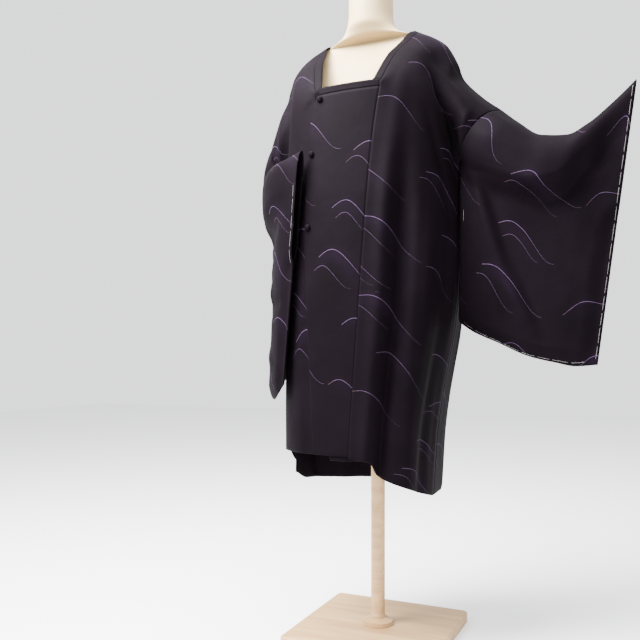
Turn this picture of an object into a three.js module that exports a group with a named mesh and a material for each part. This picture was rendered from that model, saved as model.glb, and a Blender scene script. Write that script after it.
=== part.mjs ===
import * as THREE from "three";

// Sizes in millimetres. The origin is on the floor under the shoulders, +X is the wearer's left,
// the front faces -Y and +Z is up.

// Cloth
const CLOTH = 1.6;
const SEAM_GAP = 0.4;
const LAYER_STEP = 3.4;
const SEAM_EASE = SEAM_GAP / 2;

// Mesh density
const SIDE_COLUMNS = 11;
const BODY_ROWS = 15;
const SHOULDER_ROWS = 10;
const STRIP_ROWS = 16;
const STRIP_COLUMNS = 6;
const RIDGE_ROW = BODY_ROWS + SHOULDER_ROWS;
const SLEEVE_SECTIONS = 14;
const FURI_STEPS = 9;

// Plan of the hanging body at each height: where the side seams are and how deep front and back hang
const LEVELS = [
  { z: 310, left: 133, right: 180, front: 170, back: 166 },
  { z: 370, left: 137, right: 179, front: 169, back: 164 },
  { z: 440, left: 142, right: 178, front: 168, back: 162 },
  { z: 515, left: 152, right: 178, front: 166, back: 160 },
  { z: 580, left: 164, right: 178, front: 165, back: 157 },
  { z: 670, left: 180, right: 178, front: 163, back: 154 },
  { z: 790, left: 190, right: 180, front: 160, back: 150 },
  { z: 900, left: 192, right: 182, front: 156, back: 146 },
  { z: 1000, left: 192, right: 183, front: 150, back: 140 },
  { z: 1130, left: 190, right: 182, front: 142, back: 130 },
];
const SQUARENESS = 2.3;

// Front edges at each height: the seam of the top strip, its free edge, and the two edges below it
const FRONT_EDGES = [
  { z: 310, seam: 14, overlap: -60, underSeam: -22, underlap: 92 },
  { z: 410, seam: 16, overlap: -62, underSeam: -24, underlap: 92 },
  { z: 550, seam: 24, overlap: -70, underSeam: -28, underlap: 90 },
  { z: 700, seam: 34, overlap: -80, underSeam: -34, underlap: 86 },
  { z: 860, seam: 44, overlap: -87, underSeam: -44, underlap: 80 },
  { z: 1000, seam: 54, overlap: -83, underSeam: -56, underlap: 70 },
  { z: 1060, seam: 60, overlap: -79, underSeam: -64, underlap: 64 },
  { z: 1098, seam: 65, overlap: -72, underSeam: -68, underlap: 60 },
  { z: 1119, seam: 68, overlap: -60, underSeam: -68, underlap: 58 },
];

// Hem heights across each panel, from its inner edge to the side seam
const HEMS = {
  left: [
    { v: 0, front: 406, back: 318 },
    { v: 0.18, front: 400, back: 318 },
    { v: 0.27, front: 374, back: 318 },
    { v: 0.5, front: 352, back: 318 },
    { v: 1, front: 317, back: 317 },
  ],
  right: [
    { v: 0, front: 410, back: 318 },
    { v: 0.5, front: 409, back: 320 },
    { v: 0.85, front: 405, back: 326 },
    { v: 1, front: 372, back: 345 },
  ],
};
const OVERLAP_HEM = 410;
const UNDERLAP_HEM = 400;
const UNDERLAP_DROP = 4;
const UNDERLAP_LEAN = 30;
const LEAN_FROM = 6;
const LEAN_TO = 58;

// Shoulder ridge from the neck edge to the sleeve seam, as places along the cloth
const RIDGES = {
  left: [
    { v: 0, x: 110, y: 0, z: 1266 },
    { v: 0.12, x: 133, y: 0, z: 1254 },
    { v: 0.28, x: 163, y: 0, z: 1231 },
    { v: 0.45, x: 186, y: 0, z: 1191 },
    { v: 0.62, x: 206, y: 0, z: 1151 },
    { v: 0.82, x: 240, y: 0, z: 1112 },
    { v: 1, x: 272, y: 0, z: 1086 },
  ],
  right: [
    { v: 0, x: 110, y: 0, z: 1266 },
    { v: 0.12, x: 133, y: 0, z: 1254 },
    { v: 0.28, x: 163, y: 0, z: 1231 },
    { v: 0.45, x: 183, y: 0, z: 1194 },
    { v: 0.62, x: 196, y: 2, z: 1155 },
    { v: 0.82, x: 212, y: 5, z: 1112 },
    { v: 1, x: 227, y: 8, z: 1074 },
  ],
};

// Armhole edges from the underarm to the top of the sleeve seam
const ARMHOLES = {
  left: [
    { t: 0, frontX: 196, frontY: -22, backX: 196, backY: 24, z: 985 },
    { t: 0.25, frontX: 205, frontY: -46, backX: 205, backY: 46, z: 1013 },
    { t: 0.5, frontX: 226, frontY: -56, backX: 226, backY: 54, z: 1043 },
    { t: 0.75, frontX: 252, frontY: -40, backX: 252, backY: 38, z: 1070 },
    { t: 1, frontX: 272, frontY: 0, backX: 272, backY: 0, z: 1086 },
  ],
  right: [
    { t: 0, frontX: 199, frontY: -44, backX: 193, backY: 30, z: 985 },
    { t: 0.25, frontX: 200, frontY: -50, backX: 199, backY: 50, z: 1010 },
    { t: 0.5, frontX: 211, frontY: -50, backX: 211, backY: 58, z: 1035 },
    { t: 0.75, frontX: 222, frontY: -32, backX: 222, backY: 46, z: 1058 },
    { t: 1, frontX: 227, frontY: 8, backX: 227, backY: 8, z: 1074 },
  ],
};
const CHEST = 1119;
const UNDERARM = 985;
const SIDE_OPENING = 50;

// Neck edge of the body panels: down the front sides, and round the back to the centre seam
const FRONT_NECK = [
  { t: 0, x: 68, y: -143, z: 1119 },
  { t: 0.5, x: 87, y: -97, z: 1192 },
  { t: 0.75, x: 99, y: -53, z: 1231 },
  { t: 0.9, x: 107, y: -22, z: 1257 },
  { t: 1, x: 110, y: 0, z: 1266.5 },
];
const BACK_NECK = [
  { t: 0, x: 0, y: 131, z: 1119 },
  { t: 0.35, x: 0, y: 117, z: 1195 },
  { t: 0.6, x: 0, y: 88, z: 1240 },
  { t: 0.75, x: 60, y: 74, z: 1250 },
  { t: 0.9, x: 101, y: 36, z: 1262 },
  { t: 1, x: 110, y: 0, z: 1266.5 },
];
const NECK_BAND = 16;
const FRONT_BAND = 14;
const FRONT_BAND_RIGHT = -59;
const FRONT_BAND_LEFT = 67.5;
const FRONT_BAND_SLANT = 3.7;
const BAND_ENDS = { left: 1134, right: 1116 };
const BACK_NECK_START = 0.6;

// Largest folds of the body, as troughs or ridges that run from one place to another
const FOLDS = {
  left: [
    { face: "front", fromV: 0.13, toV: 0.15, fromZ: 1080, toZ: 330, width: 0.06, depth: 7, fade: 280 },
    { face: "front", fromV: 0.27, toV: 0.31, fromZ: 1080, toZ: 330, width: 0.08, depth: -21, fade: 300 },
    { face: "front", fromV: 0.24, toV: 0.95, fromZ: 1245, toZ: 985, width: 0.11, depth: -12, fade: 70 },
    { face: "front", fromV: 0.5, toV: 0.56, fromZ: 940, toZ: 330, width: 0.09, depth: 8, fade: 200 },
    { face: "front", fromV: 0.76, toV: 0.78, fromZ: 940, toZ: 330, width: 0.08, depth: -7, fade: 160 },
    { face: "back", fromV: 0.3, toV: 0.9, fromZ: 1225, toZ: 990, width: 0.12, depth: -10, fade: 70 },
    { face: "back", fromV: 0.45, toV: 0.4, fromZ: 1030, toZ: 330, width: 0.1, depth: -10, fade: 160 },
    { face: "back", fromV: 0.7, toV: 0.72, fromZ: 960, toZ: 330, width: 0.08, depth: 8, fade: 120 },
  ],
  right: [
    { face: "front", fromV: 0.42, toV: 0.66, fromZ: 1200, toZ: 1000, width: 0.1, depth: -14, fade: 70 },
    { face: "front", fromV: 0.7, toV: 0.74, fromZ: 960, toZ: 420, width: 0.09, depth: -6, fade: 120 },
    { face: "back", fromV: 0.3, toV: 0.85, fromZ: 1225, toZ: 990, width: 0.12, depth: -10, fade: 70 },
    { face: "back", fromV: 0.5, toV: 0.42, fromZ: 1040, toZ: 330, width: 0.1, depth: -10, fade: 160 },
    { face: "back", fromV: 0.76, toV: 0.7, fromZ: 960, toZ: 330, width: 0.08, depth: 8, fade: 120 },
  ],
};
const FOLD_END = 40;

// Where folds fade out: near the sleeve seam, and near the part of the ridge that rests on the form
const SEAM_KEEP = 0.12;
const REST_DEPTH = 15;
const REST_TO = 0.42;
const HANG_FROM = 0.6;

// Where the right front steps back below the overlap, from its edge and from the chest
const COVER_FROM = 34;
const COVER_TO = 8;
const COVER_FALL = 95;
const COVER_TOP = 10;

// Sections of each sleeve from the armhole to the cuff. Facing turns the outer layer from -Y towards
// -X. The roll is the soft tube along the top fold, with the hollow below it, and the waist is how far
// the sleeve is drawn in towards the body half way down.
const SLEEVES = {
  left: [
    { u: 0, topX: 272, topY: 0, topZ: 1086, lowX: 193, lowY: 0, lowZ: 671, facing: 0,
      rollAt: 0.2, roll: 44, hollow: 24, outer: 20, inner: 18, innerRoll: 40, waist: 0 },
    { u: 0.12, topX: 304, topY: -2, topZ: 1058, lowX: 222, lowY: 0, lowZ: 650, facing: 0,
      rollAt: 0.21, roll: 58, hollow: 22, outer: 21, inner: 13, innerRoll: 36, waist: 0 },
    { u: 0.3, topX: 352, topY: -4, topZ: 1024, lowX: 268, lowY: 0, lowZ: 628, facing: 0,
      rollAt: 0.215, roll: 62, hollow: 16, outer: 20, inner: 12, innerRoll: 30, waist: 0 },
    { u: 0.5, topX: 398, topY: -4, topZ: 1019, lowX: 325, lowY: 0, lowZ: 602, facing: 0,
      rollAt: 0.18, roll: 54, hollow: 12, outer: 18, inner: 11, innerRoll: 24, waist: 0 },
    { u: 0.68, topX: 436, topY: -2, topZ: 1037, lowX: 374, lowY: 0, lowZ: 590, facing: 0,
      rollAt: 0.11, roll: 38, hollow: 12, outer: 15, inner: 10, innerRoll: 17, waist: 0 },
    { u: 0.85, topX: 476, topY: 0, topZ: 1070, lowX: 412, lowY: 0, lowZ: 583, facing: 0,
      rollAt: 0.07, roll: 20, hollow: 10, outer: 10, inner: 8, innerRoll: 12, waist: 0 },
    { u: 1, topX: 517, topY: 0, topZ: 1108, lowX: 450, lowY: 0, lowZ: 586, facing: 0,
      rollAt: 0.06, roll: 10, hollow: 8, outer: 8, inner: 8, innerRoll: 10, waist: 0 },
  ],
  right: [
    { u: 0, topX: 227, topY: 8, topZ: 1074, lowX: 204, lowY: 28, lowZ: 566, facing: 90,
      rollAt: 0.16, roll: 12, hollow: 9, outer: 12, inner: 8, innerRoll: 10, waist: 6 },
    { u: 0.16, topX: 223, topY: -24, topZ: 1034, lowX: 210, lowY: -20, lowZ: 532, facing: 84,
      rollAt: 0.23, roll: 24, hollow: 11, outer: 17, inner: 7, innerRoll: 15, waist: 13 },
    { u: 0.34, topX: 205, topY: -60, topZ: 1003, lowX: 200, lowY: -54, lowZ: 514, facing: 68,
      rollAt: 0.2, roll: 30, hollow: 11, outer: 16, inner: 7, innerRoll: 13, waist: 13 },
    { u: 0.55, topX: 178, topY: -102, topZ: 998, lowX: 188, lowY: -84, lowZ: 510, facing: 52,
      rollAt: 0.16, roll: 24, hollow: 8, outer: 13, inner: 7, innerRoll: 9, waist: 8 },
    { u: 0.78, topX: 136, topY: -140, topZ: 998, lowX: 164, lowY: -120, lowZ: 520, facing: 36,
      rollAt: 0.12, roll: 14, hollow: 8, outer: 9, inner: 7, innerRoll: 8, waist: 3 },
    { u: 1, topX: 87, topY: -158, topZ: 1008, lowX: 133, lowY: -148, lowZ: 544, facing: 22,
      rollAt: 0.1, roll: 10, hollow: 9, outer: 8, inner: 7, innerRoll: 7, waist: 0 },
  ],
};

// Free edges of each sleeve beside the body, from the underarm to the bottom fold
const FURI = {
  left: [
    { s: 0, outerX: 196, outerY: -22, innerX: 196, innerY: 24, z: 985 },
    { s: 0.3, outerX: 199, outerY: -31, innerX: 199, innerY: 27, z: 890 },
    { s: 0.7, outerX: 195, outerY: -22, innerX: 195, innerY: 18, z: 765 },
    { s: 0.93, outerX: 191, outerY: -12, innerX: 191, innerY: 10, z: 692 },
    { s: 1, outerX: 189, outerY: 0, innerX: 189, innerY: 0, z: 671 },
  ],
  right: [
    { s: 0, outerX: 199, outerY: -44, innerX: 193, innerY: 30, z: 985 },
    { s: 0.08, outerX: 209, outerY: -40, innerX: 189, innerY: 27, z: 955 },
    { s: 0.3, outerX: 209, outerY: -26, innerX: 188, innerY: 30, z: 870 },
    { s: 0.7, outerX: 211, outerY: 2, innerX: 193, innerY: 34, z: 700 },
    { s: 0.93, outerX: 208, outerY: 22, innerX: 199, innerY: 32, z: 595 },
    { s: 1, outerX: 204, outerY: 28, innerX: 204, innerY: 28, z: 566 },
  ],
};

// Shares of a sleeve's depth: the fall below the roll, where the outer layer hangs flat, the rounded
// bottom fold, and where the open part of the cuff ends and the sewn part begins
const ROLL_FALL = 0.12;
const FLAT_FROM = 0.62;
const FOOT_ROUND = 0.06;
const CUFF_OPEN = 0.41;
const CUFF_CLOSED = 0.5;

// Shares of a sleeve's length: where the sewn part of the cuff begins, and how far its seam with the
// body shapes it
const CUFF_FROM = 0.84;
const SEAM_HOLD = 0.34;
const CUFF_SEWN = 1.05;
const ROW_CURVE = 0.6;

// Buttons: places on the front strip, as a distance from its free edge
const BUTTON_RADIUS = 6.5;
const BUTTON_HEIGHT = 5.5;
const BUTTONS = [
  { name: "button_top", z: 1111, fromEdge: 9 },
  { name: "button_middle", z: 1003, fromEdge: 10 },
  { name: "button_bottom", z: 857, fromEdge: 9 },
];
const BUTTON_GAP = 0.35;
const BUTTON_FOOT = 0.86;
const BUTTON_SIDE = 0.3;
const BUTTON_ROUND = 0.8;
const BUTTON_RINGS = 4;
const BUTTON_STEPS = 16;

// Dress form
const FORM_GAP = 0.6;
const POLE_Y = 40;
const POLE_STEPS = 20;
const FORM_STEPS = 36;
const BASE_SIZE = 320;
const BASE_HEIGHT = 22;
const BASE_ROUND = 12;
const BASE_EDGE = 4;
const EDGE_STEPS = 3;
const CORNER_STEPS = 5;
const POLE_PROFILE = [
  { radius: 34, rise: 0 },
  { radius: 32, rise: 8 },
  { radius: 17, rise: 14 },
  { radius: 15, rise: 22 },
];
const TORSO_SECTIONS = [
  { z: 616, half: 118, front: 78, back: 84 },
  { z: 622, half: 134, front: 92, back: 96 },
  { z: 640, half: 142, front: 99, back: 102 },
  { z: 720, half: 146, front: 104, back: 106 },
  { z: 850, half: 148, front: 108, back: 108 },
  { z: 960, half: 152, front: 114, back: 110 },
  { z: 1060, half: 158, front: 112, back: 108 },
  { z: 1130, half: 162, front: 96, back: 96 },
];
const SHOULDER_DEPTHS = [
  { z: 1130, front: 96, back: 96 },
  { z: 1192, front: 62, back: 62 },
  { z: 1233, front: 34, back: 38 },
  { z: 1256, front: 17, back: 34 },
  { z: 1266, front: 13, back: 32 },
];
const NECK_SECTIONS = [
  { z: 1270, half: 84, front: 38, back: 36 },
  { z: 1279, half: 64, front: 46, back: 38 },
  { z: 1293, half: 52, front: 55, back: 40 },
  { z: 1320, half: 47, front: 55, back: 39 },
  { z: 1386, half: 46, front: 54, back: 38 },
  { z: 1396, half: 44, front: 52, back: 36 },
  { z: 1400, half: 38, front: 46, back: 30 },
];
const SHOULDER_REACH = 0.3;
const RIDGE_STEP = 0.02;

const silk = { color: 0x322b33, roughness: 0.62, metalness: 0 };
const cream = { color: 0xe9e2d2, roughness: 0.7, metalness: 0 };
const wood = { color: 0xd9c3a0, roughness: 0.55, metalness: 0 };

// Value of a named column at a place between the rows of a table, smooth and without overshoot
function read(table, key, column, place) {
  const last = table.length - 1;
  const low = table[0];
  const high = table[last];
  const rising = high[key] > low[key] ? 1 : -1;
  if ((place - low[key]) * rising <= 0) return low[column];
  if ((place - high[key]) * rising >= 0) return high[column];
  let i = 0;
  while ((place - table[i + 1][key]) * rising > 0) i += 1;
  const rise = (name, k) => table[k + 1][name] - table[k][name];
  const slope = (k) => rise(column, k) / rise(key, k);
  const bend = (k) => {
    if (k <= 0) return slope(0);
    if (k >= last) return slope(last - 1);
    const before = slope(k - 1);
    const after = slope(k);
    return before * after <= 0 ? 0 : (2 * before * after) / (before + after);
  };
  const span = rise(key, i);
  const s = (place - table[i][key]) / span;
  const rest = 1 - s;
  return (
    table[i][column] * rest * rest * (1 + 2 * s) +
    table[i + 1][column] * s * s * (3 - 2 * s) +
    bend(i) * span * s * rest * rest -
    bend(i + 1) * span * s * s * rest
  );
}

function smooth(from, to, value) {
  const s = Math.min(1, Math.max(0, (value - from) / (to - from)));
  return s * s * (3 - 2 * s);
}

function power(value, exponent) {
  return Math.sign(value) * Math.abs(value) ** exponent;
}

// Point of the hanging body at an angle from the centre line, in the plan at a height
function planPoint(side, face, z, angle) {
  const across = read(LEVELS, "z", side, z);
  const deep = read(LEVELS, "z", face, z);
  const x = across * power(Math.sin(angle), 2 / SQUARENESS);
  const y = deep * power(Math.cos(angle), 2 / SQUARENESS);
  return new THREE.Vector3(x, face === "front" ? -y : y, z);
}

// Angle at which the plan at a height has a given distance from the centre line
function planAngle(side, z, x) {
  const across = read(LEVELS, "z", side, z);
  return Math.asin(Math.min(1, Math.abs(x) / across) ** (SQUARENESS / 2));
}

// How far a point of the cloth is pushed in or out by the folds of its panel
function foldDepth(side, face, v, z) {
  let depth = 0;
  for (const fold of FOLDS[side]) {
    if (fold.face !== face) continue;
    const along = (fold.fromZ - z) / (fold.fromZ - fold.toZ);
    const line = fold.fromV + (fold.toV - fold.fromV) * Math.min(1, Math.max(0, along));
    const fade = smooth(fold.fromZ, fold.fromZ - fold.fade, z) * smooth(fold.toZ - FOLD_END, fold.toZ, z);
    const off = (v - line) / fold.width;
    depth += fold.depth * fade * Math.exp(-off * off);
  }
  return depth;
}

// Mirrors a point of the left half to the side that a panel is on
function onSide(side, point) {
  if (side === "right") point.x = -point.x;
  return point;
}

// One face of a body panel as a grid, from its hem up to the shoulder ridge
function panelFace(side, face) {
  const ridge = RIDGES[side];
  const armhole = ARMHOLES[side];
  const neck = face === "front" ? FRONT_NECK : BACK_NECK;
  const out = face === "front" ? -1 : 1;
  const innerX = (z) => {
    if (face === "back") return SEAM_EASE;
    if (side === "left") return read(FRONT_EDGES, "z", "seam", z) + SEAM_EASE;
    return -read(FRONT_EDGES, "z", "underSeam", z) + SEAM_EASE;
  };
  const bodyPoint = (v, z) => {
    const first = planAngle(side, z, innerX(z));
    const point = planPoint(side, face, z, first + (Math.PI / 2 - first) * v);
    point.y += out * SEAM_EASE;
    return point;
  };
  const chestAt = (v) => CHEST + (UNDERARM - CHEST) * v * v;
  const edgePoint = (t) => new THREE.Vector3(
    read(armhole, "t", `${face}X`, t),
    read(armhole, "t", `${face}Y`, t) + out * SEAM_EASE * (1 - t),
    read(armhole, "t", "z", t),
  );
  const neckPoint = (t) => new THREE.Vector3(
    Math.max(read(neck, "t", "x", t), SEAM_EASE),
    read(neck, "t", "y", t),
    read(neck, "t", "z", t),
  );
  const arcPoint = (v, t) => {
    const start = bodyPoint(v, chestAt(v));
    const top = new THREE.Vector3(
      read(ridge, "v", "x", v),
      read(ridge, "v", "y", v),
      read(ridge, "v", "z", v),
    );
    const turn = (t * Math.PI) / 2;
    const forward = Math.cos(turn);
    const up = Math.sin(turn);
    return new THREE.Vector3(
      start.x + (top.x - start.x) * (1 - forward),
      top.y + (start.y - top.y) * forward,
      start.z + (top.z - start.z) * up,
    );
  };
  const rows = [];
  for (let r = 0; r <= BODY_ROWS; r += 1) {
    const row = [];
    for (let c = 0; c <= SIDE_COLUMNS; c += 1) {
      const v = c / SIDE_COLUMNS;
      const hem = read(HEMS[side], "v", face, v);
      const top = chestAt(v);
      const z = hem + (top - hem) * (r / BODY_ROWS);
      const point = bodyPoint(v, z);
      const near = smooth(top - SIDE_OPENING, top, z) * v * v * v * v;
      point.add(edgePoint(0).sub(bodyPoint(1, UNDERARM)).multiplyScalar(near));
      row.push({ point, v, z });
    }
    rows.push(row);
  }
  for (let r = 1; r <= SHOULDER_ROWS; r += 1) {
    const t = r / SHOULDER_ROWS;
    const neckGap = neckPoint(t).sub(arcPoint(0, t));
    const armGap = edgePoint(t).sub(arcPoint(1, t));
    const row = [];
    for (let c = 0; c <= SIDE_COLUMNS; c += 1) {
      const v = c / SIDE_COLUMNS;
      const point = arcPoint(v, t);
      point.add(neckGap.clone().multiplyScalar((1 - v) ** 3));
      point.add(armGap.clone().multiplyScalar(v ** 3));
      row.push({ point, v, z: point.z });
    }
    rows.push(row);
  }
  return rows;
}

// Surface directions of a grid of points, from its neighbours on each side. Turn is -1 where the rows
// and columns run the other way round, so that the directions still point out.
function gridNormals(grid, { closed = false, turn = 1 } = {}) {
  const rows = grid.length;
  const columns = grid[0].length;
  return grid.map((row, r) => row.map((point, c) => {
    const up = grid[Math.min(rows - 1, r + 1)][c];
    const down = grid[Math.max(0, r - 1)][c];
    const next = closed ? row[(c + 1) % columns] : row[Math.min(columns - 1, c + 1)];
    const before = closed ? row[(c + columns - 1) % columns] : row[Math.max(0, c - 1)];
    const along = new THREE.Vector3().subVectors(up, down);
    const across = new THREE.Vector3().subVectors(next, before);
    return new THREE.Vector3().crossVectors(across, along).normalize().multiplyScalar(turn);
  }));
}

// Closed wall of cloth on a grid of points, half of it on each side of them
function wall(grid, normals, { closed = false, turn = 1 } = {}) {
  const rows = grid.length;
  const columns = grid[0].length;
  const positions = [];
  for (const way of [0.5, -0.5]) {
    for (let r = 0; r < rows; r += 1) {
      for (let c = 0; c < columns; c += 1) {
        const p = grid[r][c].clone().addScaledVector(normals[r][c], way * CLOTH);
        positions.push(p.x, p.y, p.z);
      }
    }
  }
  const index = [];
  const layer = rows * columns;
  const quad = (a, b, c, d) => {
    if (turn < 0) index.push(a, c, b, a, d, c);
    else index.push(a, b, c, a, c, d);
  };
  const wrap = closed ? columns : columns - 1;
  for (let r = 0; r < rows - 1; r += 1) {
    for (let c = 0; c < wrap; c += 1) {
      const n = (c + 1) % columns;
      const a = r * columns + c;
      const b = r * columns + n;
      const d = (r + 1) * columns + c;
      const e = (r + 1) * columns + n;
      quad(a, b, e, d);
      quad(layer + a, layer + d, layer + e, layer + b);
    }
  }
  for (let c = 0; c < wrap; c += 1) {
    const n = (c + 1) % columns;
    const top = (rows - 1) * columns;
    quad(c, layer + c, layer + n, n);
    quad(top + c, top + n, layer + top + n, layer + top + c);
  }
  if (!closed) {
    for (let r = 0; r < rows - 1; r += 1) {
      const a = r * columns;
      const b = (r + 1) * columns;
      const c = a + columns - 1;
      const d = b + columns - 1;
      quad(a, b, layer + b, layer + a);
      quad(c, layer + c, layer + d, d);
    }
  }
  const geometry = new THREE.BufferGeometry();
  geometry.setAttribute("position", new THREE.Float32BufferAttribute(positions, 3));
  geometry.setIndex(index);
  return geometry;
}

// Whole body panel: the back face, then the front face, joined at the shoulder ridge
function bodyPanel(side) {
  const back = panelFace(side, "back");
  const front = panelFace(side, "front");
  const cells = [...back, ...front.slice(0, -1).reverse()];
  const faces = cells.map((_, r) => (r < back.length ? "back" : "front"));
  const base = cells.map((row) => row.map((cell) => onSide(side, cell.point)));
  const turn = side === "left" ? -1 : 1;
  const normals = gridNormals(base, { turn });
  const grid = base.map((row, r) => row.map((point, c) => {
    const { v, z } = cells[r][c];
    const edge = Math.min(1, (1 - v) / SEAM_KEEP);
    const away = smooth(REST_DEPTH, REST_DEPTH * 4, Math.abs(point.y));
    const hang = Math.max(away, smooth(REST_TO, HANG_FROM, v));
    const push = foldDepth(side, faces[r], v, z) * edge * hang;
    const moved = point.clone().addScaledVector(normals[r][c], push);
    if (side === "right" && faces[r] === "front") {
      const cover = read(FRONT_EDGES, "z", "overlap", z);
      const covered = smooth(cover - COVER_FROM, cover - COVER_TO, point.x);
      moved.y += LAYER_STEP * covered * smooth(CHEST + COVER_FALL, CHEST + COVER_TOP, z);
    }
    return moved;
  }));
  return { grid, normals: gridNormals(grid, { turn }), turn };
}

// Front strip between two edges, moved inside the front of the coat by a step that depends on x
function frontStrip(fromX, toX, hem, top, inward) {
  const grid = [];
  for (let r = 0; r <= STRIP_ROWS; r += 1) {
    const z = hem + (top - hem) * (r / STRIP_ROWS);
    const row = [];
    for (let c = 0; c <= STRIP_COLUMNS; c += 1) {
      const x = fromX(z) + (toX(z) - fromX(z)) * (c / STRIP_COLUMNS);
      const side = x < 0 ? "right" : "left";
      const point = onSide(side, planPoint(side, "front", z, planAngle(side, z, x)));
      point.y += inward(x);
      row.push(point);
    }
    grid.push(row);
  }
  return grid;
}

// One sleeve as rings from the armhole to the cuff: down its outer layer and up its inner layer
function sleeveRings(side, panel) {
  const table = SLEEVES[side];
  const edge = ARMHOLES[side];
  const attached = (edge[edge.length - 1].z - UNDERARM) / (table[0].topZ - table[0].lowZ);
  const downs = [];
  for (let k = 0; k <= SHOULDER_ROWS; k += 1) downs.push(attached * (k / SHOULDER_ROWS));
  for (let k = 1; k <= FURI_STEPS; k += 1) {
    const s = k / FURI_STEPS;
    const down = (1 - ROW_CURVE) * s + ROW_CURVE * Math.sin((s * Math.PI) / 2);
    downs.push(attached + (1 - attached) * down);
  }
  const design = (u, w, layer) => {
    const get = (column) => read(table, "u", column, u);
    const facing = (get("facing") * Math.PI) / 180;
    const outward = new THREE.Vector3(Math.sin(facing), -Math.cos(facing), 0);
    const top = new THREE.Vector3(get("topX"), get("topY"), get("topZ"));
    const low = new THREE.Vector3(get("lowX"), get("lowY"), get("lowZ"));
    const point = top.clone().lerp(low, w);
    point.addScaledVector(outward, -get("waist") * Math.sin(Math.PI * w));
    const foot = Math.sqrt(Math.min(1, Math.max(0, (1 - w) / FOOT_ROUND)));
    const outer = layer === "outer";
    const roll = outer ? get("roll") : get("innerRoll");
    const hang = outer ? get("outer") : get("inner");
    const hollow = outer ? get("hollow") : hang;
    const rollAt = get("rollAt");
    const rollEnd = rollAt + ROLL_FALL;
    let out;
    if (w < rollAt) out = roll * Math.sin((Math.PI / 2) * Math.sqrt(w / rollAt));
    else if (w < rollEnd) out = roll + (hollow - roll) * smooth(rollAt, rollEnd, w);
    else out = hollow + (hang - hollow) * smooth(rollEnd, FLAT_FROM, w);
    const sewn = smooth(CUFF_OPEN, CUFF_CLOSED, w) * smooth(CUFF_FROM, 1, u);
    out = out * foot * (1 - sewn);
    out = Math.max(out, w > 0 && w < 1 ? CUFF_SEWN : 0);
    return point.addScaledVector(outward, outer ? out : -out);
  };
  const seamPoint = (w, layer) => {
    const t = 1 - w / attached;
    const face = layer === "outer" ? "front" : "back";
    return new THREE.Vector3(
      read(edge, "t", `${face}X`, t),
      read(edge, "t", `${face}Y`, t),
      read(edge, "t", "z", t),
    );
  };
  const furiPoint = (w, layer) => {
    const down = (w - attached) / (1 - attached);
    return new THREE.Vector3(
      read(FURI[side], "s", `${layer}X`, down),
      read(FURI[side], "s", `${layer}Y`, down),
      read(FURI[side], "s", "z", down),
    );
  };
  const seamLine = (w, layer) => (w <= attached ? seamPoint(w, layer) : furiPoint(w, layer));
  const rings = [];
  for (let s = 0; s <= SLEEVE_SECTIONS; s += 1) {
    const u = s / SLEEVE_SECTIONS;
    const hold = 1 - smooth(0, SEAM_HOLD, u);
    const ring = [];
    const place = (w, layer) => {
      const point = design(u, w, layer);
      const pull = seamLine(w, layer).sub(design(0, w, layer)).multiplyScalar(hold);
      return onSide(side, point.add(pull));
    };
    for (const w of downs) ring.push(place(w, "outer"));
    for (const w of downs.slice(1, -1).reverse()) ring.push(place(w, "inner"));
    rings.push(ring);
  }
  const turn = side === "left" ? 1 : -1;
  const normals = gridNormals(rings, { closed: true, turn });
  const count = rings[0].length;
  for (let k = -SHOULDER_ROWS; k <= SHOULDER_ROWS; k += 1) {
    const row = panel.grid[RIDGE_ROW + k];
    const end = row[SIDE_COLUMNS];
    const outward = new THREE.Vector3().subVectors(end, row[SIDE_COLUMNS - 1]).normalize();
    rings[0][(k + count) % count] = end.clone().addScaledVector(outward, SEAM_GAP);
    normals[0][(k + count) % count] = panel.normals[RIDGE_ROW + k][SIDE_COLUMNS].clone();
  }
  return { rings, normals, turn };
}

const group = new THREE.Group();

function add(name, geometry, look) {
  const mesh = new THREE.Mesh(geometry, new THREE.MeshStandardMaterial(look));
  mesh.name = name;
  group.add(mesh);
  return mesh;
}

// Body panels
const panels = { left: bodyPanel("left"), right: bodyPanel("right") };
for (const side of ["left", "right"]) {
  const { grid, normals, turn } = panels[side];
  add(`body_${side}`, wall(grid, normals, { turn }), silk);
}

// Front strips
const overlapGrid = frontStrip(
  (z) => read(FRONT_EDGES, "z", "overlap", z),
  (z) => read(FRONT_EDGES, "z", "seam", z) - SEAM_EASE,
  OVERLAP_HEM,
  CHEST,
  () => 0,
);
add("overlap_left", wall(overlapGrid, gridNormals(overlapGrid)), silk);
const underlapGrid = frontStrip(
  (z) => read(FRONT_EDGES, "z", "underSeam", z) + SEAM_EASE,
  (z) => read(FRONT_EDGES, "z", "underlap", z),
  UNDERLAP_HEM,
  CHEST - UNDERLAP_DROP,
  (x) => LAYER_STEP + UNDERLAP_LEAN * smooth(LEAN_FROM, LEAN_TO, x),
);
add("underlap_right", wall(underlapGrid, gridNormals(underlapGrid)), silk);

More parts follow.
